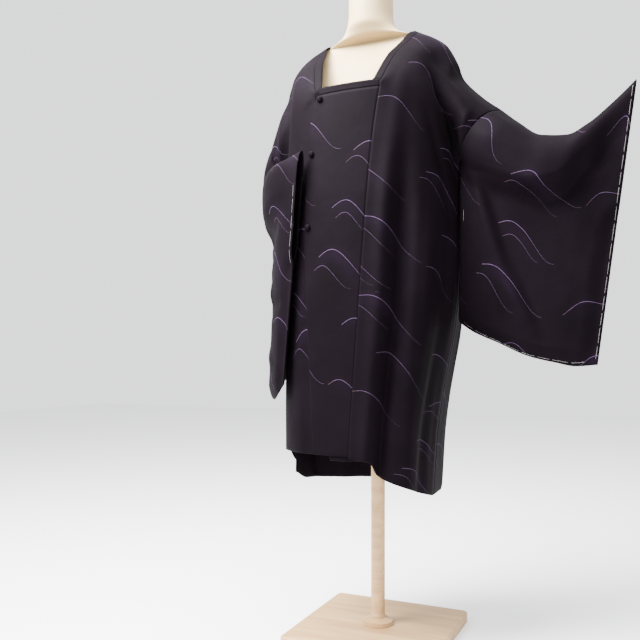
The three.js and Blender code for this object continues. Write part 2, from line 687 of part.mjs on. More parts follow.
// Neck band along the neck edge of a panel, from one row of its grid to another
const neckRow = BODY_ROWS + Math.round(BACK_NECK_START * SHOULDER_ROWS);
function neckBand(side, fromRow, toRow) {
  const { grid, normals } = panels[side];
  const strip = { grid: [], normals: [] };
  for (let r = fromRow; r <= toRow; r += 1) {
    const edge = grid[r][0];
    const normal = normals[r][0];
    const along = new THREE.Vector3().subVectors(grid[r + 1][0], grid[Math.max(neckRow, r - 1)][0]);
    const inward = new THREE.Vector3().crossVectors(along, normal).normalize();
    if (side === "right") inward.negate();
    strip.grid.push([0, 0.5, 1].map((part) =>
      edge.clone().addScaledVector(inward, SEAM_GAP + NECK_BAND * part)));
    strip.normals.push([normal, normal, normal]);
  }
  return strip;
}
for (const side of ["left", "right"]) {
  const last = RIDGE_ROW + SHOULDER_ROWS - 1;
  const band = neckBand(side, RIDGE_ROW, last);
  const { grid, normals } = panels[side];
  const fall = new THREE.Vector3().subVectors(grid[last + 1][0], grid[last][0]);
  const end = band.grid[band.grid.length - 1];
  band.grid.push(end.map((point) =>
    point.clone().addScaledVector(fall, (BAND_ENDS[side] - point.z) / fall.z)));
  band.normals.push(end.map(() => normals[last][0]));
  add(`neck_band_${side}`, wall(band.grid, band.normals, { turn: side === "left" ? 1 : -1 }), silk);
}
const backLeft = neckBand("left", neckRow, RIDGE_ROW);
const backRight = neckBand("right", neckRow + 1, RIDGE_ROW);
const backBand = {
  grid: [...backRight.grid.reverse(), ...backLeft.grid],
  normals: [...backRight.normals.reverse(), ...backLeft.normals],
};
for (const row of [backBand.grid[0], backBand.grid[backBand.grid.length - 1]]) {
  for (const point of row) point.y += SEAM_GAP;
}
add("neck_band_back", wall(backBand.grid, backBand.normals), silk);
const frontBand = [0, 1].map((r) => {
  const z = CHEST + SEAM_GAP + FRONT_BAND * r;
  const left = FRONT_BAND_LEFT + FRONT_BAND_SLANT * r;
  const row = [];
  for (let c = 0; c <= STRIP_COLUMNS; c += 1) {
    const x = FRONT_BAND_RIGHT + (left - FRONT_BAND_RIGHT) * (c / STRIP_COLUMNS);
    const side = x < 0 ? "right" : "left";
    row.push(onSide(side, planPoint(side, "front", z, planAngle(side, z, x))));
  }
  return row;
});
add("neck_band_front", wall(frontBand, gridNormals(frontBand)), silk);

// Sleeves
for (const side of ["left", "right"]) {
  const { rings, normals, turn } = sleeveRings(side, panels[side]);
  add(`sleeve_${side}`, wall(rings, normals, { closed: true, turn }), silk);
}

// Buttons
for (const { name, z, fromEdge } of BUTTONS) {
  const x = read(FRONT_EDGES, "z", "overlap", z) + fromEdge;
  const seat = onSide("right", planPoint("right", "front", z, planAngle("right", z, x)));
  const aside = onSide("right", planPoint("right", "front", z, planAngle("right", z, x - BUTTON_RADIUS)));
  const slope = new THREE.Vector3().subVectors(seat, aside);
  const out = new THREE.Vector3(slope.y, -slope.x, 0).normalize();
  const profile = [new THREE.Vector2(0, 0), new THREE.Vector2(BUTTON_RADIUS * BUTTON_FOOT, 0)];
  for (let k = 0; k <= BUTTON_RINGS; k += 1) {
    const turn = (k / BUTTON_RINGS) * (Math.PI / 2);
    const rise = BUTTON_SIDE + (1 - BUTTON_SIDE) * Math.sin(turn);
    profile.push(new THREE.Vector2(
      k < BUTTON_RINGS ? BUTTON_RADIUS * Math.cos(turn) ** BUTTON_ROUND : 0,
      BUTTON_HEIGHT * rise,
    ));
  }
  const button = add(name, new THREE.LatheGeometry(profile, BUTTON_STEPS), silk);
  button.position.copy(seat).addScaledVector(out, CLOTH / 2 + BUTTON_GAP);
  button.quaternion.setFromUnitVectors(new THREE.Vector3(0, 1, 0), out);
}

// Closed solid through rounded sections that are stacked upwards
function loft(sections, steps) {
  const positions = [];
  const index = [];
  for (const { z, half, front, back } of sections) {
    for (let k = 0; k < steps; k += 1) {
      const angle = (k / steps) * Math.PI * 2;
      const sin = Math.sin(angle);
      positions.push(half * Math.cos(angle), (sin < 0 ? front : back) * sin, z);
    }
  }
  for (let r = 0; r < sections.length - 1; r += 1) {
    for (let k = 0; k < steps; k += 1) {
      const n = (k + 1) % steps;
      const a = r * steps + k;
      const b = r * steps + n;
      index.push(a, b, b + steps, a, b + steps, a + steps);
    }
  }
  const low = positions.length / 3;
  positions.push(0, 0, sections[0].z);
  positions.push(0, 0, sections[sections.length - 1].z);
  const top = (sections.length - 1) * steps;
  for (let k = 0; k < steps; k += 1) {
    const n = (k + 1) % steps;
    index.push(low, n, k);
    index.push(low + 1, top + k, top + n);
  }
  const geometry = new THREE.BufferGeometry();
  geometry.setAttribute("position", new THREE.Float32BufferAttribute(positions, 3));
  geometry.setIndex(index);
  return geometry;
}

// Shoulder sections of the form: just under the coat's ridge, at the ridge's own columns
function shoulderSections() {
  const sections = [];
  const inset = CLOTH / 2 + FORM_GAP;
  for (let c = SIDE_COLUMNS; c >= 0; c -= 1) {
    const v = c / SIDE_COLUMNS;
    if (v > SHOULDER_REACH) continue;
    const x = read(RIDGES.left, "v", "x", v);
    const z = read(RIDGES.left, "v", "z", v);
    const slope = (column) => (
      read(RIDGES.left, "v", column, v + RIDGE_STEP) - read(RIDGES.left, "v", column, v - RIDGE_STEP)
    );
    const dx = slope("x");
    const dz = slope("z");
    const length = Math.hypot(dx, dz);
    const height = z - (inset * dx) / length;
    sections.push({
      z: height,
      half: x + (inset * dz) / length,
      front: read(SHOULDER_DEPTHS, "z", "front", height),
      back: read(SHOULDER_DEPTHS, "z", "back", height),
    });
  }
  return sections;
}

// Dress form
const torso = [...TORSO_SECTIONS, ...shoulderSections(), ...NECK_SECTIONS];
add("form_torso", loft(torso, FORM_STEPS), cream);
const poleFoot = BASE_HEIGHT + FORM_GAP;
const poleTop = TORSO_SECTIONS[0].z - FORM_GAP;
const poleRadius = POLE_PROFILE[POLE_PROFILE.length - 1].radius;
const poleProfile = [
  new THREE.Vector2(0, poleFoot),
  ...POLE_PROFILE.map(({ radius, rise }) => new THREE.Vector2(radius, poleFoot + rise)),
  new THREE.Vector2(poleRadius, poleTop),
  new THREE.Vector2(0, poleTop),
];
const pole = add("form_pole", new THREE.LatheGeometry(poleProfile, POLE_STEPS), wood);
pole.rotation.x = Math.PI / 2;
pole.position.y = POLE_Y;

// Base board with rounded corners and softened edges
const half = BASE_SIZE / 2 - BASE_EDGE;
const outline = new THREE.Shape();
outline.absarc(half - BASE_ROUND, half - BASE_ROUND, BASE_ROUND, 0, Math.PI / 2);
outline.absarc(-half + BASE_ROUND, half - BASE_ROUND, BASE_ROUND, Math.PI / 2, Math.PI);
outline.absarc(-half + BASE_ROUND, -half + BASE_ROUND, BASE_ROUND, Math.PI, Math.PI * 1.5);
outline.absarc(half - BASE_ROUND, -half + BASE_ROUND, BASE_ROUND, Math.PI * 1.5, Math.PI * 2);
const board = add("form_base", new THREE.ExtrudeGeometry(outline, {
  depth: BASE_HEIGHT - 2 * BASE_EDGE,
  bevelThickness: BASE_EDGE,
  bevelSize: BASE_EDGE,
  bevelSegments: EDGE_STEPS,
  curveSegments: CORNER_STEPS,
}), wood);
board.position.set(0, POLE_Y, BASE_EDGE);

export default group;
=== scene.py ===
import math

import bpy
import numpy as np
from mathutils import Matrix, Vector


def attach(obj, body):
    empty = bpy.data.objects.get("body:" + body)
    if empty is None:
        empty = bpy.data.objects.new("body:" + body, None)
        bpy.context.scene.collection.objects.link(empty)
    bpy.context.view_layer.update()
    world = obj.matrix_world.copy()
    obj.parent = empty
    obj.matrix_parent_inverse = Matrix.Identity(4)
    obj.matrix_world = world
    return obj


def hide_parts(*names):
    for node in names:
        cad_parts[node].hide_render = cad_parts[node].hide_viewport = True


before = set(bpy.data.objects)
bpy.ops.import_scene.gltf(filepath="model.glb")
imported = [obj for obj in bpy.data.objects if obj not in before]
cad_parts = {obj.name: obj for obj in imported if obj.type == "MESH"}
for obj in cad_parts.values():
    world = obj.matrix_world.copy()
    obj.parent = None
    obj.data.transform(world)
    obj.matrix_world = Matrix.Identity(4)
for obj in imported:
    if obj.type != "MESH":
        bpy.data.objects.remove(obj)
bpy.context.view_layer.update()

# Sizes in millimetres, in the frame of the part, and made into metres where a mesh is made
MM = 0.001

# Cloth
CLOTH = 1.6
RIM = 0.5
SEAM_GAP = 0.4
SEAM_EASE = SEAM_GAP / 2
LAYER_STEP = 3.4

# Sides of the coat, and the way across that each of them lies
SIDES = {"left": 1, "right": -1}

# Mesh density
SIDE_COLUMNS = 60
BODY_ROWS = 130
SHOULDER_ROWS = 44
STRIP_COLUMNS = 30
STRIP_ROWS = 130
SLEEVE_SECTIONS = 76
FURI_STEPS = 72
RIDGE_ROW = BODY_ROWS + SHOULDER_ROWS


def table(names, rows):
    """Named columns of a short table."""
    return dict(zip(names.split(), np.array(rows, float).T))


def rows_of(source):
    """The rows of a table, each with the table's column names."""
    return [dict(zip(source, row)) for row in zip(*source.values())]


# Plan of the hanging body at each height
LEVELS = table("z left right front back", [
    (310, 133, 180, 170, 166),
    (370, 137, 179, 169, 164),
    (440, 142, 178, 168, 162),
    (515, 152, 178, 166, 160),
    (580, 164, 178, 165, 157),
    (670, 180, 178, 163, 154),
    (790, 190, 180, 160, 150),
    (900, 192, 182, 156, 146),
    (1000, 192, 183, 150, 140),
    (1130, 190, 182, 142, 130),
])
SQUARENESS = 2.3

# Front edges at each height
FRONT_EDGES = table("z seam overlap underSeam underlap", [
    (310, 14, -60, -22, 92),
    (410, 16, -62, -24, 92),
    (550, 24, -70, -28, 90),
    (700, 34, -80, -34, 86),
    (860, 44, -87, -44, 80),
    (1000, 54, -83, -56, 70),
    (1060, 60, -79, -64, 64),
    (1098, 65, -72, -68, 60),
    (1119, 68, -60, -68, 58),
])

# Hem heights across each panel, from its inner edge to the side seam
HEMS = {
    "left": table("v front back", [
        (0, 406, 318),
        (0.18, 400, 318),
        (0.27, 374, 318),
        (0.5, 352, 318),
        (1, 317, 317),
    ]),
    "right": table("v front back", [
        (0, 410, 318),
        (0.5, 409, 320),
        (0.85, 405, 326),
        (1, 372, 345),
    ]),
}
OVERLAP_HEM = 410
UNDERLAP_HEM = 400
UNDERLAP_DROP = 4
UNDERLAP_LEAN = 30
LEAN_FROM = 6
LEAN_TO = 58

# Shoulder ridge from the neck edge to the sleeve seam
RIDGES = {
    "left": table("v x y z", [
        (0, 110, 0, 1266),
        (0.12, 133, 0, 1254),
        (0.28, 163, 0, 1231),
        (0.45, 186, 0, 1191),
        (0.62, 206, 0, 1151),
        (0.82, 240, 0, 1112),
        (1, 272, 0, 1086),
    ]),
    "right": table("v x y z", [
        (0, 110, 0, 1266),
        (0.12, 133, 0, 1254),
        (0.28, 163, 0, 1231),
        (0.45, 183, 0, 1194),
        (0.62, 196, 2, 1155),
        (0.82, 212, 5, 1112),
        (1, 227, 8, 1074),
    ]),
}

# Armhole edges from the underarm to the top of the sleeve seam
ARMHOLES = {
    "left": table("t frontX frontY backX backY z", [
        (0, 196, -22, 196, 24, 985),
        (0.25, 205, -46, 205, 46, 1013),
        (0.5, 226, -56, 226, 54, 1043),
        (0.75, 252, -40, 252, 38, 1070),
        (1, 272, 0, 272, 0, 1086),
    ]),
    "right": table("t frontX frontY backX backY z", [
        (0, 199, -44, 193, 30, 985),
        (0.25, 200, -50, 199, 50, 1010),
        (0.5, 211, -50, 211, 58, 1035),
        (0.75, 222, -32, 222, 46, 1058),
        (1, 227, 8, 227, 8, 1074),
    ]),
}
CHEST = 1119
UNDERARM = 985
SIDE_OPENING = 50
CHEST_REACH = 26
CHEST_PASSES = 60
CHEST_FULL = 0.4
CHEST_EDGE = 0.12

# Neck edge of the body panels
NECKS = {
    "front": table("t x y z", [
        (0, 68, -143, 1119),
        (0.5, 87, -97, 1192),
        (0.75, 99, -53, 1231),
        (0.9, 107, -22, 1257),
        (1, 110, 0, 1266.5),
    ]),
    "back": table("t x y z", [
        (0, 0, 131, 1119),
        (0.35, 0, 117, 1195),
        (0.6, 0, 88, 1240),
        (0.75, 60, 74, 1250),
        (0.9, 101, 36, 1262),
        (1, 110, 0, 1266.5),
    ]),
}
NECK_START = 0.1
NECK_BAND = 16
FRONT_BAND = 14
FRONT_BAND_RIGHT = -59
FRONT_BAND_LEFT = 67.5
FRONT_BAND_SLANT = 3.7
BACK_NECK_START = 0.6

# Where the sides of the neck band end: the right one reaches behind the underlap
BAND_ENDS = {"left": 1134, "right": 1114}
BAND_COLUMNS = 5
BAND_NEAR = 1

# Largest folds of the body, the same as in the solids
FOLD_COLUMNS = "fromV toV fromZ toZ width depth fade"
FOLDS = {
    ("left", "front"): table(FOLD_COLUMNS, [
        (0.13, 0.15, 1080, 330, 0.06, 7, 280),
        (0.27, 0.31, 1080, 330, 0.08, -21, 300),
        (0.24, 0.95, 1245, 985, 0.11, -12, 70),
        (0.5, 0.56, 940, 330, 0.09, 8, 200),
        (0.76, 0.78, 940, 330, 0.08, -7, 160),
    ]),
    ("left", "back"): table(FOLD_COLUMNS, [
        (0.3, 0.9, 1225, 990, 0.12, -10, 70),
        (0.45, 0.4, 1030, 330, 0.1, -10, 160),
        (0.7, 0.72, 960, 330, 0.08, 8, 120),
    ]),
    ("right", "front"): table(FOLD_COLUMNS, [
        (0.42, 0.66, 1200, 1000, 0.1, -14, 70),
        (0.7, 0.74, 960, 420, 0.09, -6, 120),
    ]),
    ("right", "back"): table(FOLD_COLUMNS, [
        (0.3, 0.85, 1225, 990, 0.12, -10, 70),
        (0.5, 0.42, 1040, 330, 0.1, -10, 160),
        (0.76, 0.7, 960, 330, 0.08, 8, 120),
    ]),
}
FOLD_END = 40
SEAM_KEEP = 0.12
REST_DEPTH = 15
REST_TO = 0.42
HANG_FROM = 0.6
COVER_FROM = 34
COVER_TO = 8
COVER_FALL = 95
COVER_TOP = 10

# Sections of each sleeve from the armhole to the cuff
SLEEVE_COLUMNS = "u topX topY topZ lowX lowY lowZ facing rollAt roll hollow outer inner innerRoll waist"
SLEEVES = {
    "left": table(SLEEVE_COLUMNS, [
        (0, 272, 0, 1086, 193, 0, 671, 0, 0.2, 44, 24, 20, 18, 40, 0),
        (0.12, 304, -2, 1058, 222, 0, 650, 0, 0.21, 58, 22, 21, 13, 36, 0),
        (0.3, 352, -4, 1024, 268, 0, 628, 0, 0.215, 62, 16, 20, 12, 30, 0),
        (0.5, 398, -4, 1019, 325, 0, 602, 0, 0.18, 54, 12, 18, 11, 24, 0),
        (0.68, 436, -2, 1037, 374, 0, 590, 0, 0.11, 38, 12, 15, 10, 17, 0),
        (0.85, 476, 0, 1070, 412, 0, 583, 0, 0.07, 20, 10, 10, 8, 12, 0),
        (1, 517, 0, 1108, 450, 0, 586, 0, 0.06, 10, 8, 8, 8, 10, 0),
    ]),
    "right": table(SLEEVE_COLUMNS, [
        (0, 227, 8, 1074, 204, 28, 566, 90, 0.16, 12, 9, 12, 8, 10, 6),
        (0.16, 223, -24, 1034, 210, -20, 532, 84, 0.23, 24, 11, 17, 7, 15, 13),
        (0.34, 205, -60, 1003, 200, -54, 514, 68, 0.2, 30, 11, 16, 7, 13, 13),
        (0.55, 178, -102, 998, 188, -84, 510, 52, 0.16, 24, 8, 13, 7, 9, 8),
        (0.78, 136, -140, 998, 164, -120, 520, 36, 0.12, 14, 8, 9, 7, 8, 3),
        (1, 87, -158, 1008, 133, -148, 544, 22, 0.1, 10, 9, 8, 7, 7, 0),
    ]),
}

# Free edges of each sleeve beside the body, from the underarm to the bottom fold
FURI = {
    "left": table("s outerX outerY innerX innerY z", [
        (0, 196, -22, 196, 24, 985),
        (0.3, 199, -31, 199, 27, 890),
        (0.7, 195, -22, 195, 18, 765),
        (0.93, 191, -12, 191, 10, 692),
        (1, 189, 0, 189, 0, 671),
    ]),
    "right": table("s outerX outerY innerX innerY z", [
        (0, 199, -44, 193, 30, 985),
        (0.08, 209, -40, 189, 27, 955),
        (0.3, 209, -26, 188, 30, 870),
        (0.7, 211, 2, 193, 34, 700),
        (0.93, 208, 22, 199, 32, 595),
        (1, 204, 28, 204, 28, 566),
    ]),
}
ROLL_FALL = 0.12
FLAT_FROM = 0.62
FOOT_ROUND = 0.06
CUFF_OPEN = 0.41
CUFF_CLOSED = 0.5
CUFF_FROM = 0.84
SEAM_HOLD = 0.34
CUFF_SEWN = 1.05
ROW_CURVE = 0.6

# Shares of a sleeve's depth and length over which its creases fade out
FADE_TOP = (0, 0.06)
FADE_FOOT = (1, 0.9)
FADE_CUFF = (0.8, 0.96)
CUFF_MARGIN = 0.1

# Smaller creases that are pressed or hung into the cloth, in millimetres on the flat cloth: across
# from the inner edge or the sleeve seam, and down from the shoulder or the top fold
CREASE_COLUMNS = "fromA fromB toA toB width depth bow"
CREASES = {
    ("left", "front"): table(CREASE_COLUMNS, [
        (40, 120, 30, 560, 16, 2.2, 8),
        (112, 300, 128, 820, 13, 2.6, -10),
        (78, 108, 244, 172, 13, -13.0, 30),
        (84, 74, 262, 128, 17, 6.0, 26),
        (96, 170, 222, 330, 18, -4.0, 20),
        (196, 60, 262, 240, 12, 2.8, -10),
        (215, 420, 240, 860, 18, -3.0, 8),
        (86, 640, 98, 900, 12, 2.0, 4),
        (180, 560, 172, 900, 14, 2.4, -8),
        (262, 300, 250, 640, 10, -2.0, 6),
    ]),
    ("left", "back"): table(CREASE_COLUMNS, [
        (30, 110, 46, 520, 20, 2.4, 8),
        (120, 160, 88, 700, 16, -2.6, -12),
        (170, 90, 236, 300, 14, 3.0, 10),
        (210, 420, 190, 900, 18, 2.8, 8),
        (60, 560, 74, 930, 15, 2.0, -5),
        (258, 330, 248, 760, 11, -2.2, 6),
    ]),
    ("right", "front"): table(CREASE_COLUMNS, [
        (150, 70, 210, 300, 14, 3.0, 12),
        (210, 60, 262, 230, 12, -2.6, -8),
        (160, 380, 172, 800, 16, 2.2, 8),
        (236, 360, 228, 800, 14, -2.4, 6),
    ]),
    ("right", "back"): table(CREASE_COLUMNS, [
        (28, 130, 40, 560, 18, -2.2, 8),
        (110, 150, 96, 720, 16, 2.8, -10),
        (176, 100, 240, 320, 14, -3.0, 12),
        (205, 400, 196, 880, 18, 2.4, 6),
        (70, 600, 60, 930, 14, 2.2, 5),
        (256, 360, 250, 760, 11, 2.0, -6),
    ]),
    ("left", "outer"): table(CREASE_COLUMNS, [
        (14, 120, 168, 430, 17, 8.5, -18),
        (44, 150, 210, 440, 20, -5.5, -14),
        (96, 210, 250, 330, 22, -4.5, 14),
        (236, 60, 296, 170, 16, 3.6, 8),
        (30, 250, 96, 470, 15, 3.2, 8),
        (210, 250, 300, 480, 26, 3.0, 16),
        (120, 300, 196, 500, 15, -2.2, 6),
        (286, 180, 312, 420, 14, 2.0, -6),
    ]),
    ("left", "inner"): table(CREASE_COLUMNS, [
        (20, 110, 190, 430, 18, 5.5, -14),
        (60, 130, 260, 400, 20, -4.0, 16),
        (120, 70, 300, 240, 18, 3.4, 12),
        (40, 300, 110, 490, 15, 2.6, 8),
        (200, 280, 290, 490, 22, 2.6, -12),
    ]),
    ("right", "outer"): table(CREASE_COLUMNS, [
        (20, 110, 130, 210, 12, -4.4, 8),
        (50, 200, 190, 120, 12, 3.6, -8),
        (40, 240, 150, 300, 13, -4.0, 10),
        (90, 330, 220, 290, 14, 3.6, 8),
        (60, 380, 180, 420, 13, -3.2, -8),
        (230, 120, 260, 400, 14, 2.2, 8),
    ]),
    ("right", "inner"): table(CREASE_COLUMNS, [
        (60, 180, 200, 160, 14, 1.6, 8),
        (70, 300, 210, 340, 14, 1.4, -6),
    ]),
    ("overlap", "front"): table(CREASE_COLUMNS, [
        (60, 40, 74, 700, 22, 1.4, 6),
        (104, 200, 92, 690, 18, -1.0, -4),
    ]),
}
CREASE_EDGE = 26
CREASE_START = (-0.05, 0.3)
CREASE_END = (1.05, 0.7)

# Buttons
BUTTON_RADIUS = 6.5
BUTTON_HEIGHT = 5.5
BUTTON_GAP = 0.35
BUTTON_ROUND = 0.8
BUTTON_FOOT = 0.88
BUTTON_SIDE = 0.3
BUTTON_TURNS = 48
BUTTON_RINGS = 14
GATHERS = 11
GATHER_DEPTH = 0.03
BUTTONS = [
    ("button_top", 1111, 9),
    ("button_middle", 1003, 10),
    ("button_bottom", 857, 9),
]

# Dress form
POLE_Y = 40
BASE_SIZE = 320
BASE_HEIGHT = 22
BASE_ROUND = 12
BASE_EDGE = 4
BASE_FOOT = [(0, 1.6), (0.5, 0.4), (1.6, 0)]
BASE_SIDE_FROM = 4
BASE_SIDE_RINGS = 4
BASE_EDGE_FROM = 0.26
BASE_EDGE_RINGS = 6
CORNER = 10
FORM_TURNS = 96
FORM_RINGS = 5
SHOULDER_RINGS = 9
TORSO = table("z half front back", [
    (616, 118, 78, 84),
    (622, 134, 92, 96),
    (640, 142, 99, 102),
    (720, 146, 104, 106),
    (850, 148, 108, 108),
    (960, 152, 114, 110),
    (1060, 158, 112, 108),
    (1130, 162, 96, 96),
])
SHOULDER_DEPTHS = table("z front back", [
    (1130, 96, 96),
    (1192, 62, 62),
    (1233, 34, 38),
    (1256, 17, 34),
    (1266, 13, 32),
])
NECK_SECTIONS = table("z half front back", [
    (1270, 84, 38, 36),
    (1279, 64, 46, 38),
    (1293, 52, 55, 40),
    (1320, 47, 55, 39),
    (1386, 46, 54, 38),
    (1396, 44, 52, 36),
    (1400, 38, 46, 30),
])
FORM_GAP = 0.6
SHOULDER_REACH = 0.3
RIDGE_STEP = 0.02

# Waves of the cloth's pattern, charted on one repeat of it: where each starts, how long and how
# deep it is, its thickness in millimetres, how gold its ends are and how strong its haze is. The
# second chart has the shorter waves that run below some of the first.
REPEAT_ACROSS = 300
REPEAT_DOWN = 392
ROW_SHIFT = 111
WAVE_COLUMNS = "a b length drop thick gold haze"
LONG_WAVES = table(WAVE_COLUMNS, [
    (26, 40, 118, 60, 1.4, 0.1, 0.7),
    (186, 96, 104, 48, 1.2, 0.5, 0.3),
    (70, 172, 104, 50, 1.2, 0.0, 0.4),
    (206, 226, 116, 62, 1.4, 0.2, 0.6),
    (34, 288, 92, 42, 1.1, 0.7, 0.2),
    (168, 336, 104, 54, 1.3, 0.0, 0.4),
])
SHORT_WAVES = table(WAVE_COLUMNS, [
    (14, 66, 74, 38, 1.0, 0.2, 0.0),
    (190, 250, 88, 50, 1.0, 0.8, 0.0),
    (176, 356, 68, 36, 0.9, 0.4, 0.0),
])
WAVE_STEP = 0.001
CREST_AT = 0.24
CREST_RISE = 0.22
CREST_SWELL = 0.34
WAVE_END = 0.3
WAVE_CUT = 0.03
WAVE_NEAR = 15
WAVE_SURE = 0.6
WAVE_TAIL = 0.2
WAVE_BEYOND = 400
GOLD_START = (0.16, 0.02)
GOLD_END = (0.8, 1)
GOLD_SHARE = 0.6
HAZE_REACH = 15
HAZE_BELOW = 0.55
HAZE_AT = 0.36
HAZE_LENGTH = 0.3
OFF = 40

# How far the rows of waves on the body lie level rather than along the sloping shoulder
ROW_LEVEL = 0.55
SHOULDER_TOP = 1266

# Where the repeat starts on each piece of cloth
SHIFTS = {
    ("left", "front"): (36, 12),
    ("left", "back"): (150, 60),
    ("right", "front"): (110, 180),
    ("right", "back"): (210, 240),
    ("overlap", "front"): (100, 106),
    ("underlap", "front"): (60, 40),
    ("left", "outer"): (83, 100),
    ("left", "inner"): (190, 110),
    ("right", "outer"): (20, 230),
    ("right", "inner"): (250, 20),
}

# How much longer and deeper the waves are where the cloth is stretched or turned to the side
STRETCH = {
    ("left", "front"): (1.25, 0.72),
    ("left", "back"): (1.1, 0.85),
    ("right", "back"): (1.1, 0.85),
}

# Basting stitches
STITCH = 30
STITCH_GAP = 2.4
STITCH_INSET = 6
STITCH_VARIES = (0.618, 0.82, 0.36)
GAP_VARIES = (0.41, 0.8, 0.5)
LINE_SPOTS = 600
LINE_START = 4
LINE_END = 2
SHORTEST = 8
THREAD = 0.22
THREAD_SPOTS = 9
THREAD_TURNS = 6
THREAD_RISE = 0.7
THREAD_SINK = 2.4
THREAD_DIP = 0.16

# Where the basting runs: distances down from the top fold, rows of the hem, and the columns that
# the spacing of a sleeve's rows is taken from
LEFT_CUFF_TOP = 6
LEFT_FURI = (252, 290)
RIGHT_CUFF = (64, 230)
HEM_ROWS = list(range(2, SLEEVE_SECTIONS - 2, 4))
HEM_INSET = 1.3
HEM_SHORT = 3
LEFT_CUFF_COLUMN = 40
LEFT_FURI_COLUMN = 100
RIGHT_CUFF_COLUMN = 60

# Camera, in metres, and its picture in pixels
CAMERA_AT = (0.552, -1.462, 0.60)
CAMERA_TURN = 24.7
FOCAL_PIXELS = 734
PICTURE = 640
HORIZON = 357
SENSOR = 36


def read(source, column, place):
    """Values of a column at places along a table's first column, smooth and without overshoot."""
    keys, values = next(iter(source.values())), source[column]
    if keys[0] > keys[-1]:
        keys, values = keys[::-1], values[::-1]
    slopes = np.diff(values) / np.diff(keys)
    before, after = slopes[:-1], slopes[1:]
    same_way = before * after > 0
    total = np.where(same_way, before + after, 1)
    bends = np.concatenate([slopes[:1], np.where(same_way, 2 * before * after / total, 0), slopes[-1:]])
    place = np.clip(np.asarray(place, float), keys[0], keys[-1])
    i = np.clip(np.searchsorted(keys, place, side="right") - 1, 0, len(slopes) - 1)
    span = keys[i + 1] - keys[i]
    s = (place - keys[i]) / span
    rest = 1 - s
    return (
        values[i] * rest * rest * (1 + 2 * s)
        + values[i + 1] * s * s * (3 - 2 * s)
        + bends[i] * span * s * rest * rest
        - bends[i + 1] * span * s * s * rest
    )


def smooth(low, high, value):
    """A smooth step from 0 at one value to 1 at another, in either direction."""
    s = np.clip((np.asarray(value, float) - low) / (high - low), 0, 1)
    return s * s * (3 - 2 * s)


def read_point(source, columns, place):
    """Points whose coordinates are three columns of a table."""
    return np.stack([read(source, column, place) for column in columns], axis=-1)


def stack(x, y, z):
    """Points from their three coordinates, which may be numbers or grids."""
    return np.stack(np.broadcast_arrays(x, y, z), axis=-1).astype(float)


def unit(vectors):
    length = np.linalg.norm(vectors, axis=-1, keepdims=True)
    return vectors / np.maximum(length, 1e-9)


# Points of the cloth

def plan_point(side, face, z, angle):
    """Point of the hanging body at a height and at an angle from straight ahead or straight behind."""
    across = read(LEVELS, side, z)
    deep = read(LEVELS, face, z)
    sine, cosine = np.sin(angle), np.cos(angle)
    x = across * np.sign(sine) * np.abs(sine) ** (2 / SQUARENESS)
    y = deep * np.sign(cosine) * np.abs(cosine) ** (2 / SQUARENESS)
    return stack(x, -y if face == "front" else y, z)


def plan_angle(side, z, x):
    """Angle at which the plan of the body is a distance across from its middle."""
    across = read(LEVELS, side, z)
    return np.arcsin(np.minimum(1, np.abs(x) / across) ** (SQUARENESS / 2))


def front_point(x, z):
    """Points of the front of the hanging body, on either side of its middle."""
    left = plan_point("left", "front", z, plan_angle("left", z, x))
    right = plan_point("right", "front", z, plan_angle("right", z, x)) * [-1, 1, 1]
    return np.where((x < 0)[..., None], right, left)


def front_edge(name, z):
    return read(FRONT_EDGES, name, z)


def fold_depth(side, face, v, z):
    """Depth of the large folds at shares of the width and heights of a panel."""
    depth = np.zeros_like(v)
    for fold in rows_of(FOLDS[side, face]):
        along = np.clip((fold["fromZ"] - z) / (fold["fromZ"] - fold["toZ"]), 0, 1)
        line = fold["fromV"] + (fold["toV"] - fold["fromV"]) * along
        fade = smooth(fold["fromZ"], fold["fromZ"] - fold["fade"], z)
        fade = fade * smooth(fold["toZ"] - FOLD_END, fold["toZ"], z)
        depth += fold["depth"] * fade * np.exp(-(((v - line) / fold["width"]) ** 2))
    return depth


def crease_depth(creases, a, b):
    """Depth of the small creases at places on the flat cloth."""
    depth = np.zeros_like(a)
    for row in rows_of(creases):
        chord = np.array([row["toA"] - row["fromA"], row["toB"] - row["fromB"]])
        length = np.linalg.norm(chord)
        along = ((a - row["fromA"]) * chord[0] + (b - row["fromB"]) * chord[1]) / length**2
        off = ((a - row["fromA"]) * chord[1] - (b - row["fromB"]) * chord[0]) / length
        within = np.clip(along, 0, 1)
        off = off - row["bow"] * 4 * within * (1 - within)
        fade = smooth(*CREASE_START, along) * smooth(*CREASE_END, along)
        depth += row["depth"] * fade * np.exp(-((off / row["width"]) ** 2))
    return depth


def creases_of(side, faces, first, a, b):
    """Depth of the small creases of one face of a piece where first holds, and of the other elsewhere."""
    return np.where(first, *(crease_depth(CREASES[side, face], a, b) for face in faces))


def grid_normals(points, closed=False, turn=1):
    """Directions out of a grid, whose rows are closed rings or open lines."""
    if closed:
        across = np.roll(points, -1, axis=1) - np.roll(points, 1, axis=1)
    else:
        wide = np.concatenate([points[:, :1], points, points[:, -1:]], axis=1)
        across = wide[:, 2:] - wide[:, :-2]
    tall = np.concatenate([points[:1], points, points[-1:]], axis=0)
    along = tall[2:] - tall[:-2]
    return unit(np.cross(across, along)) * turn


def lengths(points, axis):
    """How far each point of a grid is along its row or column."""
    steps = np.linalg.norm(np.diff(points, axis=axis), axis=-1)
    total = np.cumsum(steps, axis=axis)
    first = np.zeros_like(np.take(total, [0], axis=axis))
    return np.concatenate([first, total], axis=axis)


